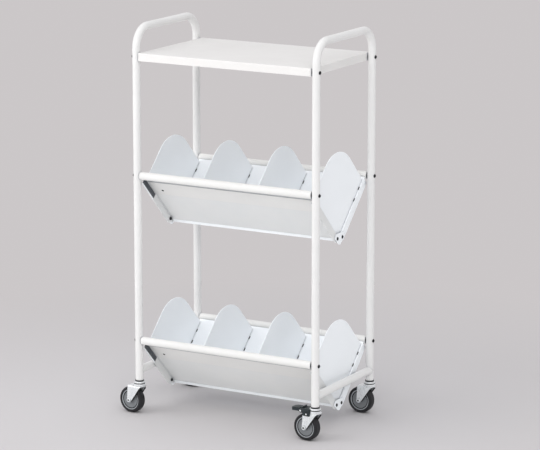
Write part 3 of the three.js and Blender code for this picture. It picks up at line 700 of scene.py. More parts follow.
def sheet_section(reach):
    """The sheet's line for each reach from the lip's bend centre: down the slope, round the bend and down
    the lip. A reach of the bend's radius is the underside, and one sheet more is the inner face."""
    turn = np.linspace(quarter_turn + slope, np.pi, lip_steps + 1)
    reach = np.asarray(reach, float)[:, None]
    bend = np.stack([bend_y + reach * np.cos(turn), bend_z + reach * np.sin(turn)], axis=-1)
    top = np.stack([slope_point(sheet_top_s, n) for n in reach[:, 0] - lip_bend])[:, None]
    lip = np.stack([bend_y - reach, 0 * reach + lip_bottom], axis=-1)
    return np.concatenate([top, bend, lip], axis=1)


def rolled_sheet():
    """The section carried across the trough, and rolled over at both ends toward the underside."""
    turn = np.linspace(0, quarter_turn, roll_steps + 1)
    turn = np.concatenate([turn[::-1], turn])
    side = np.repeat([-1, 1], roll_steps + 1)
    faces = []
    for depth in [0, trough_sheet]:
        radius = roll_radius - depth
        section = sheet_section(lip_bend + trough_sheet - depth - radius * (1 - np.cos(turn)))
        x = side * (trough_half - roll_radius + radius * np.sin(turn))
        x_grid = np.broadcast_to(x[:, None, None], (*section.shape[:2], 1))
        faces.append(np.concatenate([x_grid, section], axis=2))
    return sheet_solid(*faces)


# %% The end flanges
flange_width = 0.022
flange_gap = 0.004
flange_overlap = 0.0007
flange_corner = 0.002
flange_top_s = sheet_top_s - flange_gap


def end_flange(side):
    """A flat flange below the roll. Its upper edge follows the sheet, and its free corners are round."""
    upper = sheet_section([lip_bend - flange_overlap])[0]
    upper[0] = slope_point(flange_top_s, -flange_overlap)
    free_y, free_z = slope_point(flange_top_s, -flange_width)
    low_y = free_y - (free_z - lip_bottom) / np.tan(slope)
    radii = np.concatenate([0 * upper[:, 0], [flange_corner, flange_corner]])
    outline = rounded(np.concatenate([upper, [[low_y, lip_bottom], [free_y, free_z]]]), radii)
    return prism_beside(outline, side, trough_half - trough_sheet, trough_half, along_x)


# %% The rail and the joint nuts
plug_recess = 0.001
tube_wall = 0.0015
joint_bolt_y = 0.014
joint_bolt_rise = 0.0035
joint_bolt_z = joint_bolt_rise - trough_drop
joint_nut_corner = 0.0046
joint_nut_height = 0.004
joint_nut_hole = 0.0027


def rail():
    """A tube from leg to leg with a threaded plug just inside each end."""
    bore = tube_radius - tube_wall
    floor = inner_x - plug_recess
    half = [(0, floor), (bore, floor), (bore, inner_x), (tube_radius, inner_x)]
    return moved(turned(both_halves(half), along_x), (0, leg_y, 0))


def joint_nuts():
    """A nut behind the flange at each end of the side."""
    start = trough_half - trough_sheet - joint_nut_height
    nut = hex_nut(joint_nut_corner, joint_nut_height, joint_nut_hole)
    places = [((start, joint_bolt_y, joint_bolt_z), 0), ((-start, joint_bolt_y, joint_bolt_z), np.pi)]
    return [moved(nut, offset, turn) for offset, turn in places]


def sheet_with_flanges():
    """The sheet of one side, as the rear one, with the rail's axis at height zero."""
    return [rolled_sheet(), end_flange(-1), end_flange(1)]


# %% The front strips, the painted shade under their rails and on their flanges, and the hems
strip_setback = 0.093
strip_sheet = 0.0012
seam_setback = 0.0355
# The grey sheet that paints the shade in the gap under the rail: its thickness.
rail_gap_shade_thickness = 0.0006
# The dark sheet that paints the shade on the flange: its thickness and its gap to the hem.
flange_shade_thickness = 0.0006
flange_shade_gap = 0.0006
hem_width = 0.0038
hem_sheet = 0.0011
lip_hem_sheet = 0.0006
lip_hem_points = 5
strip_low_s = rail_s - strip_setback
seam_low_s = rail_s - seam_setback


def along_slope(points):
    """An outline in X and n, with its depth up the slope."""
    return on_slope(points[..., [0, 2, 1]])


def doubler(thickness, low_s, high_s):
    """A flat sheet on the outer face of the side, from end to end of the trough."""
    return prism(rectangle(-trough_half, trough_half, -thickness, 0), low_s, high_s, along_slope)


def front_strip():
    """A second sheet on the outer face of the sheet, from the seam under the rail down."""
    return doubler(strip_sheet, strip_low_s, seam_low_s)


def rail_gap_shade():
    """A thin grey sheet in the gap between the strip and the rail that paints the shade in the gap."""
    return doubler(rail_gap_shade_thickness, seam_low_s, sheet_top_s)


def mirrored_x(solid):
    """The same solid at the other end of the trough, with its faces still outwards."""
    points, faces = solid
    return points * (-1, 1, 1), [face[::-1] for face in faces]


def flange_shade_sheet():
    """A thin dark sheet on the inner face of the flange, beside the strip, that paints the shade there."""
    outer = trough_half - trough_sheet
    outline = rectangle(outer - flange_shade_thickness, outer, hem_width + flange_shade_gap - flange_width, -roll_radius)
    return prism(outline, strip_low_s, flange_top_s, along_slope)


def lip_hem():
    """The lip's edge, folded forward and up over its outer face as far as the bend."""
    near, far = sheet_section([lip_bend, lip_bend - lip_hem_sheet])[:, -lip_hem_points:]
    outline = np.concatenate([near, far[::-1]])
    return prism(outline, roll_radius - trough_half, trough_half - roll_radius, along_x)


def flange_hems():
    """The free edge of each flange, folded back over its inner face."""
    outer = trough_half - trough_sheet
    outline = rectangle(outer - hem_sheet, outer, -flange_width, hem_width - flange_width)
    hem = prism(outline, strip_low_s, flange_top_s, along_slope)
    return [hem, mirrored_x(hem)]


# %% The four sides
trough_heights = {"lower": lower_rail_height, "upper": upper_rail_height}
# The rear sides take the brighter plate coat: painted light.
side_paints = {"rear": plate_paint, "front": panel_paint}
for level, height in trough_heights.items():
    for end, turn in {"rear": 0, "front": np.pi}.items():
        place = cart_spot(0, 0, height, turn)
        rails = [rail()]
        if end == "front":
            rails.append(front_strip())
            hems = [*flange_hems(), lip_hem()]
            # A dark grey sheet on the left flange paints the shade there.
            flange_shade = [flange_shade_sheet()]
            piece(f"{level}_flange_shade_sheet", flange_shade, flange_shade_grey, "socket_plastic", place=place, bevel=fine_edge)
            # A grey sheet paints the shade in the gap under the rail.
            piece(f"{level}_rail_gap_shade", [rail_gap_shade()], rail_gap_shade_grey, "panel_paint", place=place)
            # The hems take the brighter plate coat: painted light along the folded edges.
            piece(f"{level}_flange_hems", hems, plate_paint, "panel_paint", place=place, bevel=sheet_edge)
        sheets = sheet_with_flanges()
        name = f"{level}_{end}"
        look = (side_paints[end], "panel_paint")
        made = piece(f"{name}_panel", sheets, *look, [f"{name}_side"], place=place, bevel=sheet_edge)
        piece(f"{name}_rail", rails, rail_paint, "panel_paint", place=place, bevel=sheet_edge)
        piece(f"{name}_joint_nuts", joint_nuts(), black_oxide, "zinc", place=place, bevel=sheet_edge)
        print(made.name, "has", len(made.data.polygons), "faces")

# %% [markdown]
# ## Dome-topped plates
# Each plate is a square of sheet that stands on its corner in the V, with a shallow dome for its top. Two
# tabs on its rear edge go through slots in the rear side. The outline is worked out once and carried
# through the sheet's thickness. The bevel gives the bright rim that the cut edge of a coated plate has.
# Beside each tab, on the side that the camera sees, a thin black face paints the shade in the gap of its
# slot.

# %% The plate's outline
plate_sheet = 0.002
plate_n = trough_sheet + piece_gap
plate_setback = 0.0193
plate_corner = 0.004
plate_edge = 0.0006
dome_radius = 0.1
dome_steps = 40
toe_width = 0.008
tab_setbacks = [0.0895, 0.0505]
tab_length = 0.01
tab_proud = 0.0012


def tab_points(setback):
    """The four corners of one tab, from the lower to the upper."""
    middle = rail_s - setback
    places = [(-1, plate_n), (-1, -tab_proud), (1, -tab_proud), (1, plate_n)]
    return [slope_point(middle + end * tab_length / 2, n) for end, n in places]


def plate_half(tabs):
    """The rear half of the outline, from the toe up to the start of the dome."""
    toe = toe_width / 2
    toe_z = plate_n / np.cos(slope) - trough_drop + toe * np.tan(slope)
    corner_centre = slope_point(rail_s - plate_setback - plate_corner, plate_n + plate_corner)
    corner = arc(corner_centre, plate_corner, slope - quarter_turn, slope, corner_steps)
    return np.array([(toe, toe_z), *tabs, *corner])


def plate_outline():
    """The rear half with its tabs, the dome, and the plain front half mirrored."""
    dome_z = (rail_s - plate_setback - dome_radius) / np.sin(slope) - trough_drop
    dome = arc((0, dome_z), dome_radius, slope, np.pi - slope, dome_steps)
    rear = plate_half([point for setback in tab_setbacks for point in tab_points(setback)])
    front = plate_half([])[::-1] * (-1, 1)
    return np.concatenate([rear, dome, front])


# %% The foot of a left end plate
plate_end_inset = 0.0055
plate_end_x = trough_half - plate_end_inset
foot_length = 0.044
foot_width = 0.032
foot_setback = 0.072
foot_bend = 0.003
screw_inset = 0.029
screw_radius = 0.0037
screw_head = 0.0011
foot_nut_corner = 0.0042
foot_nut_height = 0.0032
slot_shade_width = 0.003


def at_setback(outline, setback, length):
    """An outline carried up the slope for a length whose middle lies at a setback from the rail."""
    middle = rail_s - setback
    return prism(outline, middle - length / 2, middle + length / 2, along_slope)


def foot():
    """A strip bent from the plate onto the slope. Its section is an L with a round bend."""
    outer_x = plate_end_x + plate_sheet / 2
    top_n = plate_n + plate_sheet
    rise_n = plate_n + 2 * foot_bend
    corners = [(outer_x, plate_n), (outer_x - foot_length, plate_n), (outer_x - foot_length, top_n)]
    corners += [(outer_x - plate_sheet, top_n), (outer_x - plate_sheet, rise_n), (outer_x, rise_n)]
    radii = [foot_bend, 0, 0, foot_bend - plate_sheet, 0, 0]
    return at_setback(rounded(corners, radii), foot_setback, foot_width)


def foot_screw():
    """A low dark screw through the sheet: a domed head outside, the nut on the foot inside."""
    x = plate_end_x - screw_inset
    s = rail_s - foot_setback
    seat = -strip_sheet
    head = [(0, seat - screw_head), (screw_radius / 2, seat - screw_head), (screw_radius, seat), (0, seat)]
    top_n = plate_n + plate_sheet
    nut = rectangle(0, foot_nut_corner, top_n, top_n + foot_nut_height)
    placed = [(points + (x, s, 0), faces) for points, faces in (turned(head), turned(nut, hexed=1))]
    return [(on_slope(points), faces) for points, faces in placed]


def slot_shade(x, setback):
    """A thin black face in the slot of the rear side, beside the tab on the side that the camera sees, that
    paints the shade in the slot's gap.
    """
    near = x + plate_sheet / 2
    return at_setback(rectangle(near, near + slot_shade_width, trough_sheet, plate_n), setback, tab_length)


# %% The eight plates
plate_names = ["left_end_plate", "left_divider", "right_divider", "right_end_plate"]
plate_xs = np.linspace(-plate_end_x, plate_end_x, len(plate_names))


def plate(x):
    """The outline carried through the sheet, centred at a place along the trough."""
    return prism(plate_outline(), x - plate_sheet / 2, x + plate_sheet / 2, along_x)


for level, height in trough_heights.items():
    place = cart_spot(0, 0, height)
    for plate_name, x in zip(plate_names, plate_xs):
        name = f"{level}_{plate_name}"
        solids = [plate(x)]
        if plate_name == "left_end_plate":
            solids.append(moved(foot(), (0, 0, 0), np.pi))
        # The plates take the brighter plate coat: painted light.
        piece(f"{name}_sheet", solids, plate_paint, "plate_paint", [name], place=place, bevel=plate_edge)
    # Black faces beside the tabs paint the shade in the slots' gaps.
    shaded_slots = [slot_shade(x, setback) for x in plate_xs for setback in tab_setbacks]
    piece(f"{level}_slot_shades", shaded_slots, shade_and_screw_black, "panel_paint", place=place)
    front = cart_spot(0, 0, height, np.pi)
    piece(f"{level}_foot_screw", foot_screw(), shade_and_screw_black, "zinc", place=front, bevel=fine_edge)
print("Plates stand at x =", plate_xs.round(4), "and rise to", plate_outline()[:, 1].max().round(4))

# %% [markdown]
# ## Joint brackets
# A shield-shaped plate at each end of a trough ties its two sides together below the seam. Two dark bolts
# go through it into nuts behind the flanges. A bolt's head is a low dome with a hexagon socket, made by one
# profile whose inner part is hexagonal.

# %% A socket bolt
head_steps = 5
head_rim_share = 0.35
head_dome_turn = 1.1
socket_share = 0.46
socket_depth_share = 0.55


def socket_head(radius, height):
    """A domed bolt head on its seat at height zero, with a hexagon socket in its top."""
    turns = np.linspace(0, head_dome_turn, head_steps)
    rises = head_rim_share + (1 - head_rim_share) * np.sin(turns)
    dome = zip(radius * np.cos(turns), height * rises)
    socket = radius * socket_share
    floor = height * (1 - socket_depth_share)
    profile = [(0, 0), (radius, 0), *dome, (socket, height), (socket, floor), (0, floor)]
    hexed = [0, 0, *[0] * head_steps, 1, 1, 0]
    return turned(profile, along_x, hexed)


# %% The four brackets
bracket_sheet = 0.002
bracket_half_top = 0.022
bracket_top_rise = 0.017
bracket_half = 0.029
bracket_rise = 0.005
bracket_tip_drop = 0.0155
bracket_tip_radius = 0.009
bracket_corner = 0.0025
joint_head_radius = 0.0046
joint_head_height = 0.0026
bolt_sink = 0.0004
bracket_edge = 0.0005


def bracket_outline():
    """A shield: level top, sides that widen to the shoulders, and a round tip below them."""
    tip_z = bracket_tip_radius - bracket_tip_drop
    rise = bracket_rise - tip_z
    tangent = np.arctan2(rise, bracket_half) - np.arccos(bracket_tip_radius / np.hypot(bracket_half, rise))
    tip = arc((0, tip_z), bracket_tip_radius, -np.pi - tangent, tangent, 2 * corner_steps)
    sides = [(bracket_half, bracket_rise), (bracket_half_top, bracket_top_rise)]
    sides += [(-across, rise) for across, rise in reversed(sides)]
    radii = np.concatenate([0 * tip[:, 0], [bracket_corner] * len(sides)])
    return rounded(np.concatenate([tip, sides]), radii) - (0, trough_drop)


bracket_x = trough_half + piece_gap
for level, height in trough_heights.items():
    for end, turn in {"right": 0, "left": np.pi}.items():
        place = cart_spot(0, 0, height, turn)
        shield = prism(bracket_outline(), bracket_x, bracket_x + bracket_sheet, along_x)
        seat = bracket_x + bracket_sheet - bolt_sink
        head = socket_head(joint_head_radius, joint_head_height)
        bolts = [moved(head, (seat, across * joint_bolt_y, joint_bolt_z)) for across in (-1, 1)]
        name = f"{level}_{end}"
        # The shields take the brighter plate coat: painted light.
        look = (plate_paint, "frame_paint")
        piece(f"{name}_shield", [shield], *look, [f"{name}_bracket"], place=place, bevel=bracket_edge)
        piece(f"{name}_joint_bolts", bolts, black_oxide, "zinc", place=place)
print("A bracket's outline has", len(bracket_outline()), "points")

# %% [markdown]
# ## Frame bolts
# Twelve bolts go through the legs into the rails and the shelf. A dark washer, hollowed to fit the round
# leg, sits under each head and another fills the gap between the leg and the flat end of the rail. The
# hollow side can't be seen, so both washers simply run a little way into the leg.

# %% Bolts through the legs
frame_head_radius = 0.0041
frame_head_height = 0.0026
outer_washer_radius = 0.0052
outer_washer_sink = 0.0013
outer_washer_rise = 0.0004
inner_washer_radius = 0.0056
inner_washer_sink = 0.0019
washer_edge = 0.0003


def washer(radius, low, high):
    """A disc along X with both edges cut a little."""
    profile = [(0, low), (radius - washer_edge, low), (radius, low + washer_edge)]
    profile += [(radius, high - washer_edge), (radius - washer_edge, high), (0, high)]
    return turned(profile, along_x)


def frame_bolt():
    """The two washers and the head of a bolt through the right leg, at height zero."""
    skin = leg_x + tube_radius
    outer = washer(outer_washer_radius, skin - outer_washer_sink, skin + outer_washer_rise)
    inner = washer(inner_washer_radius, inner_x - plug_recess / 2, inner_x + inner_washer_sink)
    seat = skin + outer_washer_rise - washer_edge / 2
    head = moved(socket_head(frame_head_radius, frame_head_height), (seat, 0, 0))
    return [outer, inner, head]


bolt_heights = {"lower": lower_rail_height, "upper": upper_rail_height, "shelf": shelf_bolt_height}
leg_turns = {"front_left": (np.pi, -1), "front_right": (0, -1)}
leg_turns |= {"rear_left": (np.pi, 1), "rear_right": (0, 1)}
for level, height in bolt_heights.items():
    for corner, (turn, across) in leg_turns.items():
        name = f"{level}_{corner}"
        place = cart_spot(0, across * leg_y, height, turn)
        piece(f"{name}_socket_bolt", frame_bolt(), black_oxide, "zinc", [f"{name}_bolt"], place=place)
print("Frame bolts at heights", [round(float(height), 4) for height in bolt_heights.values()])

# %% [markdown]
# ## Casters
# The four casters are alike but for their brakes. Each is worked out in its own frame: the swivel axis
# stands at the origin, the fork trails toward minus X, and the floor is at height zero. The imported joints
# say where each swivel axis is and how far the caster is turned.

# %% Where each caster stands
joint_table = {joint["name"]: joint for joint in frame["joints"]}
corners = ["front_left", "front_right", "rear_left", "rear_right"]
braked_corners = ["front_right", "rear_left"]
caster_places = {}
for corner in corners:
    swivel_x, swivel_y, _ = joint_table[f"{corner}_swivel_turn"]["pos_m"]
    axle_x, axle_y, _ = joint_table[f"{corner}_wheel_spin"]["axis"]
    caster_places[corner] = ((swivel_x, swivel_y, 0), np.arctan2(-axle_x, axle_y))
    print(corner, "caster turned by", round(float(np.degrees(caster_places[corner][1])), 2), "degrees")


def caster_piece(corner, name, solids, finish, slot, replaced="", part="swivel", bevel=0):
    """A piece of one caster, worked out in the caster's own frame. It rides on the swivel, the wheel or the
    pedal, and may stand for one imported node."""
    nodes = [f"{corner}_{replaced}"] if replaced else []
    body = f"{corner}_{part}"
    return piece(f"{corner}_{name}", solids, finish, slot, nodes, body, caster_places[corner], bevel)


# %% [markdown]
# ## Caster heads
# Under each leg there is a dark plastic socket with a thin flange. Below it come the upper race, a ring of
# balls behind a black ring that paints the shade in the gap between the races, and the lower race on top of
# the fork. The stem and the upper race stay with the cart, and what is below the balls swivels.

# %% Sockets and stems
caster_trail = 0.026
wheel_radius = 0.0375
axle_height = wheel_radius
axle_place = (-caster_trail, 0, axle_height)
fork_sheet = 0.002
fork_wheel_gap = 0.004
fork_top = 2 * wheel_radius + fork_wheel_gap + fork_sheet
lower_race_height = 0.0062
race_gap = 0.0024
upper_race_height = 0.0048
race_edge = 0.0012
lower_race_top = fork_top + lower_race_height
upper_race_bottom = lower_race_top + race_gap
upper_race_top = upper_race_bottom + upper_race_height
upper_race_radius = 0.0157
lower_race_radius = 0.0163
stem_radius = 0.005
stem_length = 0.035
rivet_radius = 0.008
rivet_height = 0.003
socket_flange = leg_end_height - upper_race_top - 2 * piece_gap
socket_length = 0.037
socket_proud = 0.0014
socket_edge_share = 1 / 3
ball_seat = 0.0014
ball_radius = race_gap / 2 + ball_seat
ball_circle = 0.011
ball_count = 8
ball_steps = 8
race_rim_radius = 0.015


def leg_socket():
    """A plug in the leg's bore with a flange under the leg's end."""
    low = upper_race_top + piece_gap
    bore = tube_radius - tube_wall - piece_gap
    hole = stem_radius + piece_gap
    edge = socket_edge_share * socket_flange
    wide = tube_radius + socket_proud
    profile = [(hole, low), (wide - edge, low), (wide, low + edge), (wide, low + socket_flange)]
    profile += [(bore, low + socket_flange), (bore, low + socket_length), (hole, low + socket_length)]
    return [turned(profile)]


def ball(turn):
    """A sphere on the ball circle: half a circle carried round its own upright axis."""
    half = arc((0, 0), ball_radius, -quarter_turn, quarter_turn, ball_steps)
    height = (lower_race_top + upper_race_bottom) / 2
    return moved(turned(half), (ball_circle * np.cos(turn), ball_circle * np.sin(turn), height))


def stem():
    """The rivet head under the fork, the stem and the upper race, as one turned solid, with its balls."""
    rivet_top = fork_top - fork_sheet - piece_gap
    profile = [(0, rivet_top - rivet_height), (rivet_radius - race_edge, rivet_top - rivet_height)]
    profile += [(rivet_radius, rivet_top - rivet_height + race_edge), (rivet_radius, rivet_top)]
    profile += [(stem_radius, rivet_top), (stem_radius, upper_race_bottom)]
    profile += [(upper_race_radius, upper_race_bottom), (upper_race_radius, upper_race_top - race_edge)]
    profile += [(upper_race_radius - race_edge, upper_race_top), (stem_radius, upper_race_top)]
    profile += [(stem_radius, upper_race_top + stem_length), (0, upper_race_top + stem_length)]
    radii = [0, 0, 0, 0, 0, 0, race_edge / 2, race_edge, race_edge, 0, 0, 0]
    balls = [ball(turn) for turn in np.linspace(0, full_turn, ball_count, endpoint=False)]
    return [turned(rounded(profile, radii)), *balls]


# %% Put the heads under the legs
for corner in corners:
    place = caster_places[corner]
    socket_node = f"{corner}_leg_socket"
    piece(f"{corner}_socket", leg_socket(), socket_black, "socket_plastic", [socket_node], place=place)
    piece(f"{corner}_stem_and_race", stem(), bright_zinc, "zinc", [f"{corner}_caster_stem"], place=place)
print(f"The races run from {lower_race_top:.4f} to {upper_race_top:.4f}, and the socket's flange above them")

# %% [markdown]
# ## Caster forks
# A fork is pressed from one sheet: two cheeks, a round bend above each, and a level top. It is worked out
# as a sheet whose section in Y and Z is a U. At each height the sheet reaches from a rear edge to a front
# edge, and below the axle both edges follow the round end of the cheek. The lower race is turned, and a
# pressed rib stiffens each cheek.

# %% The fork's outline
fork_inner_half = 0.0142
fork_outer_half = fork_inner_half + fork_sheet
fork_rear = 0.0305
fork_front = 0.0135
fork_end = 0.007
fork_bend = 0.0042
fork_bend_steps = 6
cheek_steps = 22
fork_columns = 16


def cheek_edges(height):
    """The rear and the front edge of the cheek at each height: the round end below the axle's level and the
    line to the top above it. The front line touches the round end."""
    run = caster_trail + fork_front
    rise = fork_top - axle_height
    tangent = np.arctan2(rise, run) - np.arccos(fork_end / np.hypot(run, rise))
    touch_x = fork_end * np.cos(tangent) - caster_trail
    touch_z = fork_end * np.sin(tangent) + axle_height
    chord = np.sqrt(np.maximum(fork_end**2 - (height - axle_height) ** 2, 0))
    share = np.clip((height - axle_height) / rise, 0, 1)
    rear_line = -caster_trail - fork_end + share * (fork_end + caster_trail - fork_rear)
    front_line = touch_x + (height - touch_z) / (fork_top - touch_z) * (fork_front - touch_x)
    rear = np.where(height < axle_height, -caster_trail - chord, rear_line)
    front = np.where(height < touch_z, chord - caster_trail, front_line)
    return rear, front


def fork_line(depth):
    """Half of the U as (Y, Z): up a cheek and round its bend. Depth is how far it lies inside the outer
    face."""
    foot_turn = np.linspace(-quarter_turn, 0, cheek_steps // 2, endpoint=False)
    low = axle_height + fork_end * np.sin(foot_turn)
    high = np.linspace(axle_height, fork_top - fork_bend, cheek_steps // 2)
    cheek_z = np.concatenate([low, high])
    cheek = np.stack([0 * cheek_z - fork_outer_half + depth, cheek_z], axis=1)
    centre = (fork_bend - fork_outer_half, fork_top - fork_bend)
    bend = arc(centre, fork_bend - depth, np.pi, quarter_turn, fork_bend_steps)
    return np.concatenate([cheek, bend[1:]])


def fork_sheet_solid():
    """The U carried from the rear edge to the front edge of each height."""
    faces = []
    level = np.concatenate([fork_line(0)[:, 1], fork_line(0)[::-1, 1]])
    rear, front = cheek_edges(level)
    share = np.linspace(0, 1, fork_columns)
    for depth in [0, fork_sheet]:
        half = fork_line(depth)
        line = np.concatenate([half, half[::-1] * (-1, 1)])
        x = rear[:, None] + share * (front - rear)[:, None]
        y = np.broadcast_to(line[:, :1], x.shape)
        z = np.broadcast_to(line[:, 1:], x.shape)
        faces.append(np.stack([x, y, z], axis=-1))
    return sheet_solid(*faces)


# %% The lower race, the rib and the whole fork
race_flare = 0.0022
rib_half_width = 0.0028
rib_rise = 0.001
rib_low = 0.05
rib_high = 0.0745
rib_x = -0.0175
rib_steps = 12


def lower_race():
    """A pressed pan on the fork's top: it flares out at its foot, rises straight and turns in at its
    rim."""
    low = fork_top - fork_sheet
    floor = fork_top + race_flare
    profile = [(0, low), (fork_outer_half, low), (fork_outer_half, fork_top), (lower_race_radius, floor)]
    profile += [(lower_race_radius, lower_race_top), (race_rim_radius, lower_race_top)]
    profile += [(race_rim_radius, floor), (0, floor)]
    radii = [0, 0, 0, race_flare, race_edge, 0, 0, 0]
    return turned(rounded(profile, radii))


def cheek_rib(side):
    """A raised bar on a cheek with round ends: the width and the rise both follow half an oval from end to
    end."""
    along = np.linspace(-1, 1, rib_steps)[:, None]
    around = np.linspace(0, full_turn, rib_steps, endpoint=False)[None, :]
    fullness = (1 - along**4) ** 0.5
    x = rib_x + rib_half_width * fullness * np.cos(around)
    y = side * (fork_outer_half + rib_rise * fullness * np.sin(around))
    z = (rib_low + rib_high) / 2 + along * (rib_high - rib_low) / 2 + 0 * around
    return ring_solid(np.stack([x, y, z], axis=-1))


for corner in corners:
    solids = [fork_sheet_solid(), lower_race(), cheek_rib(-1), cheek_rib(1)]
    caster_piece(corner, "pressed_fork", solids, bright_zinc, "zinc", "fork", bevel=sheet_edge)
print("A fork's sheet has", len(fork_sheet_solid()[1]), "faces")

# %% [markdown]
# ## Shade rings and axles
# A black ring fills the gap between the races and hides the balls: it paints the shade in that gap. The axle
# is a bolt across the fork: its head and its nut are bright hexagons with turned faces and a recess in
# each, in which a black disc paints the shade. A black strip along the front edge of each cheek paints the
# shade in the narrow gap beside the tyre.

# %% Shade rings and axles
# The black ring that paints the shade in the gap between the races.
shade_ring_depth = 0.0012
shade_ring_gap = 0.0002
shade_ring_bottom = lower_race_top - shade_ring_depth
shade_ring_top = upper_race_bottom - shade_ring_gap
axle_radius = 0.003
axle_corner = 0.0058
axle_head = 0.0036
axle_chamfer = 0.0007
axle_nut_hole = 0.0028
# The black strip that paints the shade beside the tyre: its width and inset.
shade_strip_width = 0.0034
shade_strip_inset = 0.0003


def race_gap_shade():
    """A thin standing black ring just inside the rim of the lower race, painting the shade in the gap
    between the races.
    """
    outer = race_rim_radius - piece_gap
    return turned(rectangle(outer - fork_sheet, outer, shade_ring_bottom, shade_ring_top))


def axle():
    """A rod across the fork with a hexagon at both ends, and a round recess in each face."""
    seat = fork_outer_half + piece_gap
    end = seat + axle_head
    half = [(axle_radius, seat), (axle_corner, seat), (axle_corner, end - axle_chamfer)]
    half += [(axle_corner - axle_chamfer, end), (axle_nut_hole, end), (axle_nut_hole, end - axle_chamfer)]
    half += [(0, end - axle_chamfer)]
    hexed = [0, 1, 1, 0, 0, 0, 0]
    return moved(turned(both_halves(half[::-1]), along_y, hexed[::-1] + hexed), axle_place)


def axle_recess_shades():
    """A black disc in the recess of each nut's face: painted shade in the recess."""
    high = fork_outer_half + piece_gap + axle_head - axle_chamfer / 2
    disc = turned(rectangle(0, axle_nut_hole, high - axle_chamfer, high), along_y)
    return [moved(disc, axle_place, turn) for turn in (0, np.pi)]


def cheek_shade_strip(side):
    """A black strip along a cheek's front edge, from the round end up to the bend, that paints the shade in
    the gap beside the tyre.
    """
    heights = np.linspace(axle_height - fork_end / 2, fork_top - 2 * fork_bend, cheek_steps)
    edge = cheek_edges(heights)[1]
    ahead = np.stack([edge + shade_strip_width, heights], axis=1)
    behind = np.stack([edge, heights], axis=1)
    near, far = fork_inner_half + shade_strip_inset, fork_outer_half - shade_strip_inset
    return prism_beside(np.concatenate([ahead, behind[::-1]]), side, near, far, along_y)


for corner in corners:
    # Black strips paint the shade in the gap between each cheek and the tyre.
    shade_strips = [cheek_shade_strip(-1), cheek_shade_strip(1)]
    caster_piece(corner, "cheek_shade_strips", shade_strips, shade_and_screw_black, "socket_plastic")
    # A black disc paints the shade in each nut's recess.
    caster_piece(corner, "axle_recess_shades", axle_recess_shades(), shade_and_screw_black, "socket_plastic")
    # A black ring paints the shade in the gap between the races.
    caster_piece(corner, "race_gap_shade", [race_gap_shade()], shade_and_screw_black, "socket_plastic")
    caster_piece(corner, "axle_bolt", [axle()], bright_zinc, "zinc", "axle")
# The printed heights are those of the black ring that paints the shade between the races.
print(f"Seals stand between {shade_ring_bottom:.4f} and {shade_ring_top:.4f}")

# %% [markdown]
# ## Wheels
# A wheel is a grey plastic hub, with a black ring in its groove that paints the shade there, a paler rim
# that paints the highlight it catches, and a dark tyre round it.
# All are profiles carried round the axle. The tyre's tread is flat in the middle and falls away to the side
# walls on a quarter of an oval.

# %% Wheel profiles
hub_boss_radius = 0.008
hub_boss_half = 0.0135
hub_face_half = 0.0095
hub_face_radius = 0.0236
hub_groove_half = 0.007
groove_shade_half = 0.0096
hub_rim_inner = 0.0265
hub_rim_half = 0.0105
hub_radius = 0.029
hub_edge = 0.0007
dish_depth = 0.0012
tyre_half = 0.0125
tyre_shoulder = 0.007
tyre_drop = 0.0045
tyre_steps = 10
wall_edge = 0.0012


def about_axle(profile, radii):
    """A profile of (radius, place along the axle), with its mirror image, carried round the axle."""
    outline = rounded(both_halves(profile), [*radii, *reversed(radii)])
    return moved(turned(outline, along_y), axle_place)


def hub():
    """The boss, the slightly dished disc and the floor of the groove."""
    profile = [(axle_radius, hub_boss_half), (hub_boss_radius, hub_boss_half)]
    profile += [(hub_boss_radius + hub_edge, hub_face_half)]
    profile += [(hub_face_radius / 2, hub_face_half - dish_depth), (hub_face_radius, hub_face_half)]
    profile += [(hub_face_radius, hub_groove_half), (hub_rim_inner, hub_groove_half)]
    return about_axle(profile, [0, hub_edge, hub_edge, hub_boss_radius, hub_edge, 0, 0])


def hub_groove_shade():
    """A black ring that fills most of the groove and paints its shade."""
    profile = [(hub_face_radius, groove_shade_half), (hub_rim_inner, groove_shade_half)]
    return about_axle(profile, [0, 0])


def hub_rim():
    """The paler ring between the groove and the tyre, in a lighter grey that paints the highlight on the
    rim.
    """
    profile = [(hub_rim_inner, hub_rim_half), (hub_radius, hub_rim_half)]
    return about_axle(profile, [hub_edge, hub_edge])


def tyre():
    """Flat tread, oval shoulders and straight side walls with a small edge at the bore."""
    turn = np.linspace(0, quarter_turn, tyre_steps + 1)
    radius = wheel_radius - tyre_drop * (1 - np.sin(turn))
    across = tyre_half - tyre_shoulder * (1 - np.cos(turn))
    shoulder = zip(radius, across)
    profile = [(hub_radius, tyre_half - wall_edge), (hub_radius + wall_edge, tyre_half), *shoulder]
    return moved(turned(both_halves(profile), along_y), axle_place)


# %% The four wheels
for corner in corners:
    caster_piece(corner, "hub_disc", [hub()], hub_grey, "hub_plastic", "wheel_hub", "wheel")
    # The black ring paints the shade in the hub's groove.
    caster_piece(corner, "hub_groove_shade", [hub_groove_shade()], shade_and_screw_black, "hub_plastic", part="wheel")
    # The rim's paler grey is a painted highlight.
    caster_piece(corner, "hub_rim", [hub_rim()], rim_highlight_grey, "hub_plastic", part="wheel")
    caster_piece(corner, "tread", [tyre()], tyre_rubber, "tyre_rubber", "tyre", "wheel")
print(f"A wheel is {2 * wheel_radius:.3f} across and {2 * tyre_half:.3f} wide")

# %% [markdown]
# ## Brakes
# Two casters have a brake. A dark plastic housing sits over the rear of the fork, hollowed to clear the
# lower race, with two ears behind it. Bright pins hold it on the fork and carry the pedal between the ears,
# and a black ring round each end of a pin paints the shade in the gap of its hole. The pivot pin runs right
# across, and the fixing pin is two short ends in the side walls.
# The housing is built of a few outlines carried straight, and a bevel softens them as moulding does.

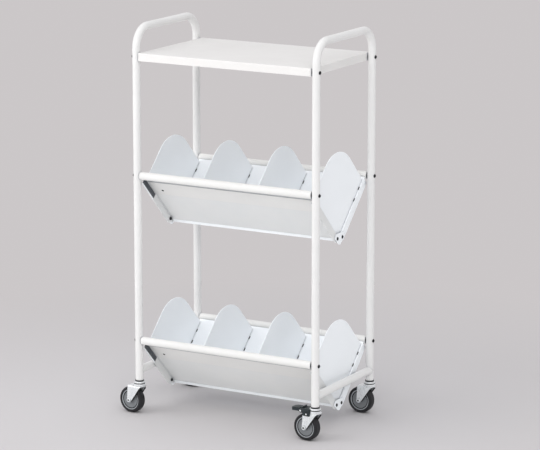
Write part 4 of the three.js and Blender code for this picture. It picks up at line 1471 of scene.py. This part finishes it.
# %% Brake housing
cover_inner_half = fork_outer_half + piece_gap
cover_wall = 0.0022
cover_outer_half = cover_inner_half + cover_wall
cover_rise = 0.011
cover_top = fork_top + cover_rise
cover_front = 0.0065
cover_corner = 0.005
cover_edge = 0.0009
skirt_drop = 0.009
skirt_bottom = fork_top - skirt_drop
skirt_corner = 0.004
ear_radius = 0.0056
ear_width = 0.006
ear_inner_half = cover_outer_half - ear_width
pivot_margin = 0.0062
pivot_rise = 0.004
pivot_back = fork_rear + pivot_margin
pivot_height = fork_top + pivot_rise
race_clearance = lower_race_radius + 2 * piece_gap
cover_arc_steps = 16


def cover_block():
    """The top of the cover: a rectangle whose front is hollowed by a circle about the swivel axis."""
    turn = np.arccos(-cover_front / race_clearance)
    hollow = arc((0, 0), race_clearance, full_turn - turn, turn, cover_arc_steps)
    outer = [(-cover_front, cover_outer_half), (-fork_rear, cover_outer_half)]
    outer += [(-fork_rear, -cover_outer_half), (-cover_front, -cover_outer_half)]
    radii = [0, cover_corner, cover_corner, 0, *[0] * len(hollow)]
    return prism(rounded([*outer, *hollow], radii), fork_top + piece_gap, cover_top)


def cover_skirt(side):
    """A thin wall beside the fork, with its lower corners rounded."""
    wall = rectangle(-fork_rear, -cover_front, skirt_bottom, pivot_height)
    outline = rounded(wall, [skirt_corner, skirt_corner, 0, 0])
    return prism_beside(outline, side, cover_inner_half, cover_outer_half, along_y)


def ear(side):
    """A round end about the pivot, joined to the cover by a bar of the same height."""
    round_end = arc((-pivot_back, pivot_height), ear_radius, quarter_turn, 3 * quarter_turn, cover_arc_steps)
    root_x = skirt_corner - fork_rear
    root = [(root_x, pivot_height - ear_radius), (root_x, pivot_height + ear_radius)]
    return prism_beside(np.array([*round_end, *root]), side, ear_inner_half, cover_outer_half, along_y)


# %% Brake pins
pivot_pin_radius = 0.003
fixing_pin_radius = 0.0025
# The width of the black ring that paints the shade round each pin.
pin_shade_width = 0.0018
fixing_pin_back = 0.0175
fixing_pin_drop = 0.0034
fixing_pin_height = fork_top - fixing_pin_drop
pin_proud = 0.0008


def both_sides(solid, back, height):
    """A solid on one side of the housing and again, turned round, on the other."""
    return [moved(solid, (-back, 0, height), turn) for turn in (0, np.pi)]


def pin(radius, back, height, depth):
    """The two ends of a rod across the housing, each from a depth to a slightly rounded face."""
    outline = rectangle(0, radius, depth, cover_outer_half + pin_proud)
    return both_sides(turned(rounded(outline, [0, 0, pin_proud, 0]), along_y), back, height)


def pin_gap_shade(radius, back, height):
    """A black ring round both ends of a pin, a little lower than the pin's face, that paints the shade in
    the gap of the pin's hole.
    """
    low = cover_outer_half - pin_proud / 2
    ring = turned(rectangle(radius, radius + pin_shade_width, low, low + pin_proud), along_y)
    return both_sides(ring, back, height)


# %% Brake pedal
pedal_half_width = 0.013
pedal_gap = 0.0009
pedal_root = ear_radius + pedal_gap
pedal_knee_back = 0.023
pedal_tip_back = 0.0335
pedal_corner = 0.0055
pedal_top = [0.0065, 0.0062, 0.0046]
pedal_under = [-0.0035, -0.0038, -0.004]
pedal_rows = 28
pedal_columns = 18
pedal_tread_depth = 0.0004
pedal_tread_count = 5
pedal_edge = 0.0008
heel_front = (0.006, 0.008)
heel_crest = (0.004, 0.0133)
heel_foot = (0, 0.0068)
heel_low = 0.006
heel_radii = [0, 0.002, 0.0025, 0.004, 0, 0]
heel_half_width = 0.008
shoe_sheet = 0.0044
barrel_middle = (ear_radius + pivot_pin_radius) / 2
brake_travel = np.radians(20)


def paddle():
    """A tapered plate behind the pivot. Its tip is set back by a quarter circle near each side, and shallow
    waves cross its top as a tread for the shoe."""
    across = np.linspace(-pedal_half_width, pedal_half_width, pedal_rows)[:, None]
    beyond = np.maximum(np.abs(across) - pedal_half_width + pedal_corner, 0) / pedal_corner
    reach = pedal_tip_back - pedal_corner * (1 - np.sqrt(1 - beyond**2))
    back = pedal_root + (reach - pedal_root) * np.linspace(0, 1, pedal_columns)
    stops = [pedal_root, pedal_knee_back, pedal_tip_back]
    waves = pedal_tread_depth * np.cos(pedal_tread_count * full_turn * back / pedal_tip_back)
    tread = np.interp(back, stops, pedal_top) - pedal_tread_depth + waves
    faces = [tread, np.interp(back, stops, pedal_under)]
    width = np.broadcast_to(across, back.shape)
    top, under = (np.stack([-back, width, face], axis=-1) for face in faces)
    return sheet_solid(top, under)


def release_bump():
    """The raised heel that is pushed down to let the wheel go."""
    root_x = -pedal_root - piece_gap
    outline = [(0, barrel_middle), heel_front, heel_crest, heel_foot]
    outline += [(root_x, heel_low), (root_x, barrel_middle)]
    return prism(rounded(outline, heel_radii), -heel_half_width, heel_half_width, along_y)


def brake_shoe():
    """A bar from the pivot that stops just short of the tread. It points past the axle while it is up."""
    run = pivot_back - caster_trail
    drop = pivot_height - axle_height
    reach = np.hypot(run, drop) - wheel_radius - 2 * piece_gap
    turn = -np.arctan2(drop, run) - brake_travel
    along = np.array([np.cos(turn), np.sin(turn)])
    square = np.array([-along[1], along[0]]) * shoe_sheet / 2
    start = along * barrel_middle
    outline = np.array([start - square, along * reach - square, along * reach + square, start + square])
    hub_half = ear_inner_half - piece_gap
    return prism(outline, -hub_half / 2, hub_half / 2, along_y)


def pedal_barrel():
    """The round barrel between the ears."""
    half = ear_inner_half - piece_gap
    profile = rectangle(pivot_pin_radius + piece_gap, ear_radius, -half, half)
    return turned(rounded(profile, [0, pin_proud, pin_proud, 0]), along_y)


# %% Both brakes
for corner in braked_corners:
    housing = [cover_block(), cover_skirt(-1), cover_skirt(1), ear(-1), ear(1)]
    pins = pin(pivot_pin_radius, pivot_back, pivot_height, 0)
    pins += pin(fixing_pin_radius, fixing_pin_back, fixing_pin_height, cover_inner_half)
    pin_shades = pin_gap_shade(pivot_pin_radius, pivot_back, pivot_height)
    pin_shades += pin_gap_shade(fixing_pin_radius, fixing_pin_back, fixing_pin_height)
    parts = [paddle(), release_bump(), brake_shoe(), pedal_barrel()]
    pedal = [moved(solid, (-pivot_back, 0, pivot_height)) for solid in parts]
    moulding = (slate_plastic, "brake_plastic")
    # Black rings paint the shade in the gaps round the pins.
    caster_piece(corner, "pin_gap_shades", pin_shades, shade_and_screw_black, "brake_plastic")
    caster_piece(corner, "brake_cover", housing, *moulding, "brake_housing", bevel=cover_edge)
    caster_piece(corner, "brake_pins", pins, bright_zinc, "zinc")
    caster_piece(corner, "paddle", pedal, *moulding, "brake_pedal", "pedal", pedal_edge)
print("Brakes stand on", braked_corners)

# %% [markdown]
# ## Camera
# The photograph was taken from the right front, a little above the cart, with a long lens that hardly lets
# the far legs shrink. The camera's place is given from the cart's middle, and it is turned by a heading and
# a tilt.

# %% Camera
heading = np.radians(29.679)
tilt = np.radians(12.208)
lens_length = 188.1
sensor_width = 36
camera_right = 3.8427
camera_back = 6.6548
camera_height = 2.2064

camera_data = bpy.data.cameras.new("photo camera")
camera_data.lens = lens_length
camera_data.sensor_width = sensor_width
camera = bpy.data.objects.new("photo camera", camera_data)
camera.location = (middle_x + camera_right, middle_y - camera_back, camera_height)
camera.rotation_euler = Euler((quarter_turn - tilt, 0, heading))
bpy.context.scene.collection.objects.link(camera)
bpy.context.scene.camera = camera
bpy.context.scene.view_settings.view_transform = "Standard"
print("The camera stands at", [round(float(part), 3) for part in camera.location])

# %% [markdown]
# ## Floor, backdrop and light
# The studio is a pale warm grey without an edge. The floor is a wide disc that keeps the cart's soft
# shadow. Farther out it takes on the backdrop's own colour for the camera and for glossy faces, and the
# world has that colour too.

# %% Floor and backdrop
backdrop = screen_colour(202, 198, 199)
floor_tone = screen_colour(193, 190, 191)
bounce_tone = screen_colour(240, 239, 239)
floor_radius = 40
fade_start = 0.55
fade_end = 1.6


def seen_or_mirrored(tree):
    """1 for rays from the camera, off glossy faces and through clear ones. 0 for those that carry light."""
    path = node(tree, "ShaderNodeLightPath")
    seen = node(tree, "ShaderNodeMath", {0: path.outputs["Is Camera Ray"], 1: path.outputs["Is Glossy Ray"]})
    either = {0: seen.outputs[0], 1: path.outputs["Is Transmission Ray"]}
    return node(tree, "ShaderNodeMath", either, use_clamp=True).outputs[0]


def floor_finish():
    """A dull floor that fades with its distance from the cart into the backdrop's colour. What it sends
    back up to the cart is the light of a white studio floor."""
    material, tree, shader = new_finish("studio floor", {"Specular IOR Level": 0, "Roughness": 1})
    feed(tree, shader.inputs["Base Color"], blended(tree, seen_or_mirrored(tree), bounce_tone, floor_tone))
    place = node(tree, "ShaderNodeTexCoord").outputs["Object"]
    distance = node(tree, "ShaderNodeVectorMath", {0: place}, operation="LENGTH").outputs["Value"]
    far = spread(tree, distance, 0, 1, fade_start, fade_end)
    both = {0: far, 1: seen_or_mirrored(tree)}
    share = node(tree, "ShaderNodeMath", both, operation="MULTIPLY").outputs[0]
    glow = node(tree, "ShaderNodeEmission", {"Color": backdrop}).outputs["Emission"]
    mixed = node(tree, "ShaderNodeMixShader", {0: share, 1: shader.outputs["BSDF"], 2: glow})
    feed(tree, tree.nodes["Material Output"].inputs["Surface"], mixed.outputs[0])
    return material


floor_mesh = bpy.data.meshes.new("studio_floor")
rim = circle(floor_radius)
floor_mesh.from_pydata(np.column_stack([rim, 0 * rim[:, 0]]).tolist(), [], [list(range(round_sides))])
floor_mesh.materials.append(floor_finish())
studio_floor = bpy.data.objects.new("studio_floor", floor_mesh)
bpy.context.scene.collection.objects.link(studio_floor)
print("The floor fades into the backdrop from", fade_start, "to", fade_end, "metres")

# %% World light
world_light = (0.97, 0.98, 1, 1)
horizon_strength = 0.05
zenith_strength = 1.25
zenith_height = 0.9

world = bpy.data.worlds.new("studio")
bpy.context.scene.world = world
world.use_nodes = True
world_tree = world.node_tree
direction = node(world_tree, "ShaderNodeTexCoord").outputs["Generated"]
rise = node(world_tree, "ShaderNodeSeparateXYZ", {"Vector": direction}).outputs["Z"]
strength = spread(world_tree, rise, horizon_strength, zenith_strength, 0, zenith_height)
lit = node(world_tree, "ShaderNodeBackground", {"Color": world_light, "Strength": strength})
shown_world = node(world_tree, "ShaderNodeBackground", {"Color": backdrop})
world_mix = {0: seen_or_mirrored(world_tree), 1: lit.outputs[0], 2: shown_world.outputs[0]}
world_shader = node(world_tree, "ShaderNodeMixShader", world_mix)
feed(world_tree, world_tree.nodes["World Output"].inputs["Surface"], world_shader.outputs[0])
print("The sky's light grows from", horizon_strength, "at the horizon to", zenith_strength, "overhead")

# %% Softboxes
aim_height = 0.5
soft_right = np.array([np.cos(heading), np.sin(heading), 0])
soft_toward = np.array([np.sin(heading), -np.cos(heading), 0])
softboxes = {
    "key": {"right": -2.4, "toward": 1.6, "up": 2.8, "width": 1.6, "height": 2.2, "power": 22},
    "left fill": {"right": -2.8, "toward": 0.4, "up": 1.2, "width": 1.4, "height": 2, "power": 18},
    "high front": {"right": 0.3, "toward": 3.4, "up": 2.6, "width": 2.6, "height": 1.6, "power": 46},
}


def softbox(name, right, toward, up, width, height, power):
    """A rectangular lamp placed as the camera sees it, to the right, toward the camera and up, and aimed at
    the cart's middle."""
    lamp = bpy.data.lights.new(name, "AREA")
    lamp.shape = "RECTANGLE"
    lamp.size = width
    lamp.size_y = height
    lamp.energy = power
    shown = bpy.data.objects.new(name, lamp)
    target = np.array([middle_x, middle_y, aim_height])
    place = right * soft_right + toward * soft_toward + np.array([middle_x, middle_y, up])
    shown.location = place
    ahead = target - place
    level = np.hypot(ahead[0], ahead[1])
    shown.rotation_euler = Euler((np.arctan2(level, -ahead[2]), 0, np.arctan2(-ahead[0], ahead[1])))
    bpy.context.scene.collection.objects.link(shown)


for name, lamp_sizes in softboxes.items():
    softbox(name, **lamp_sizes)
print("Lamps:", ", ".join(softboxes))
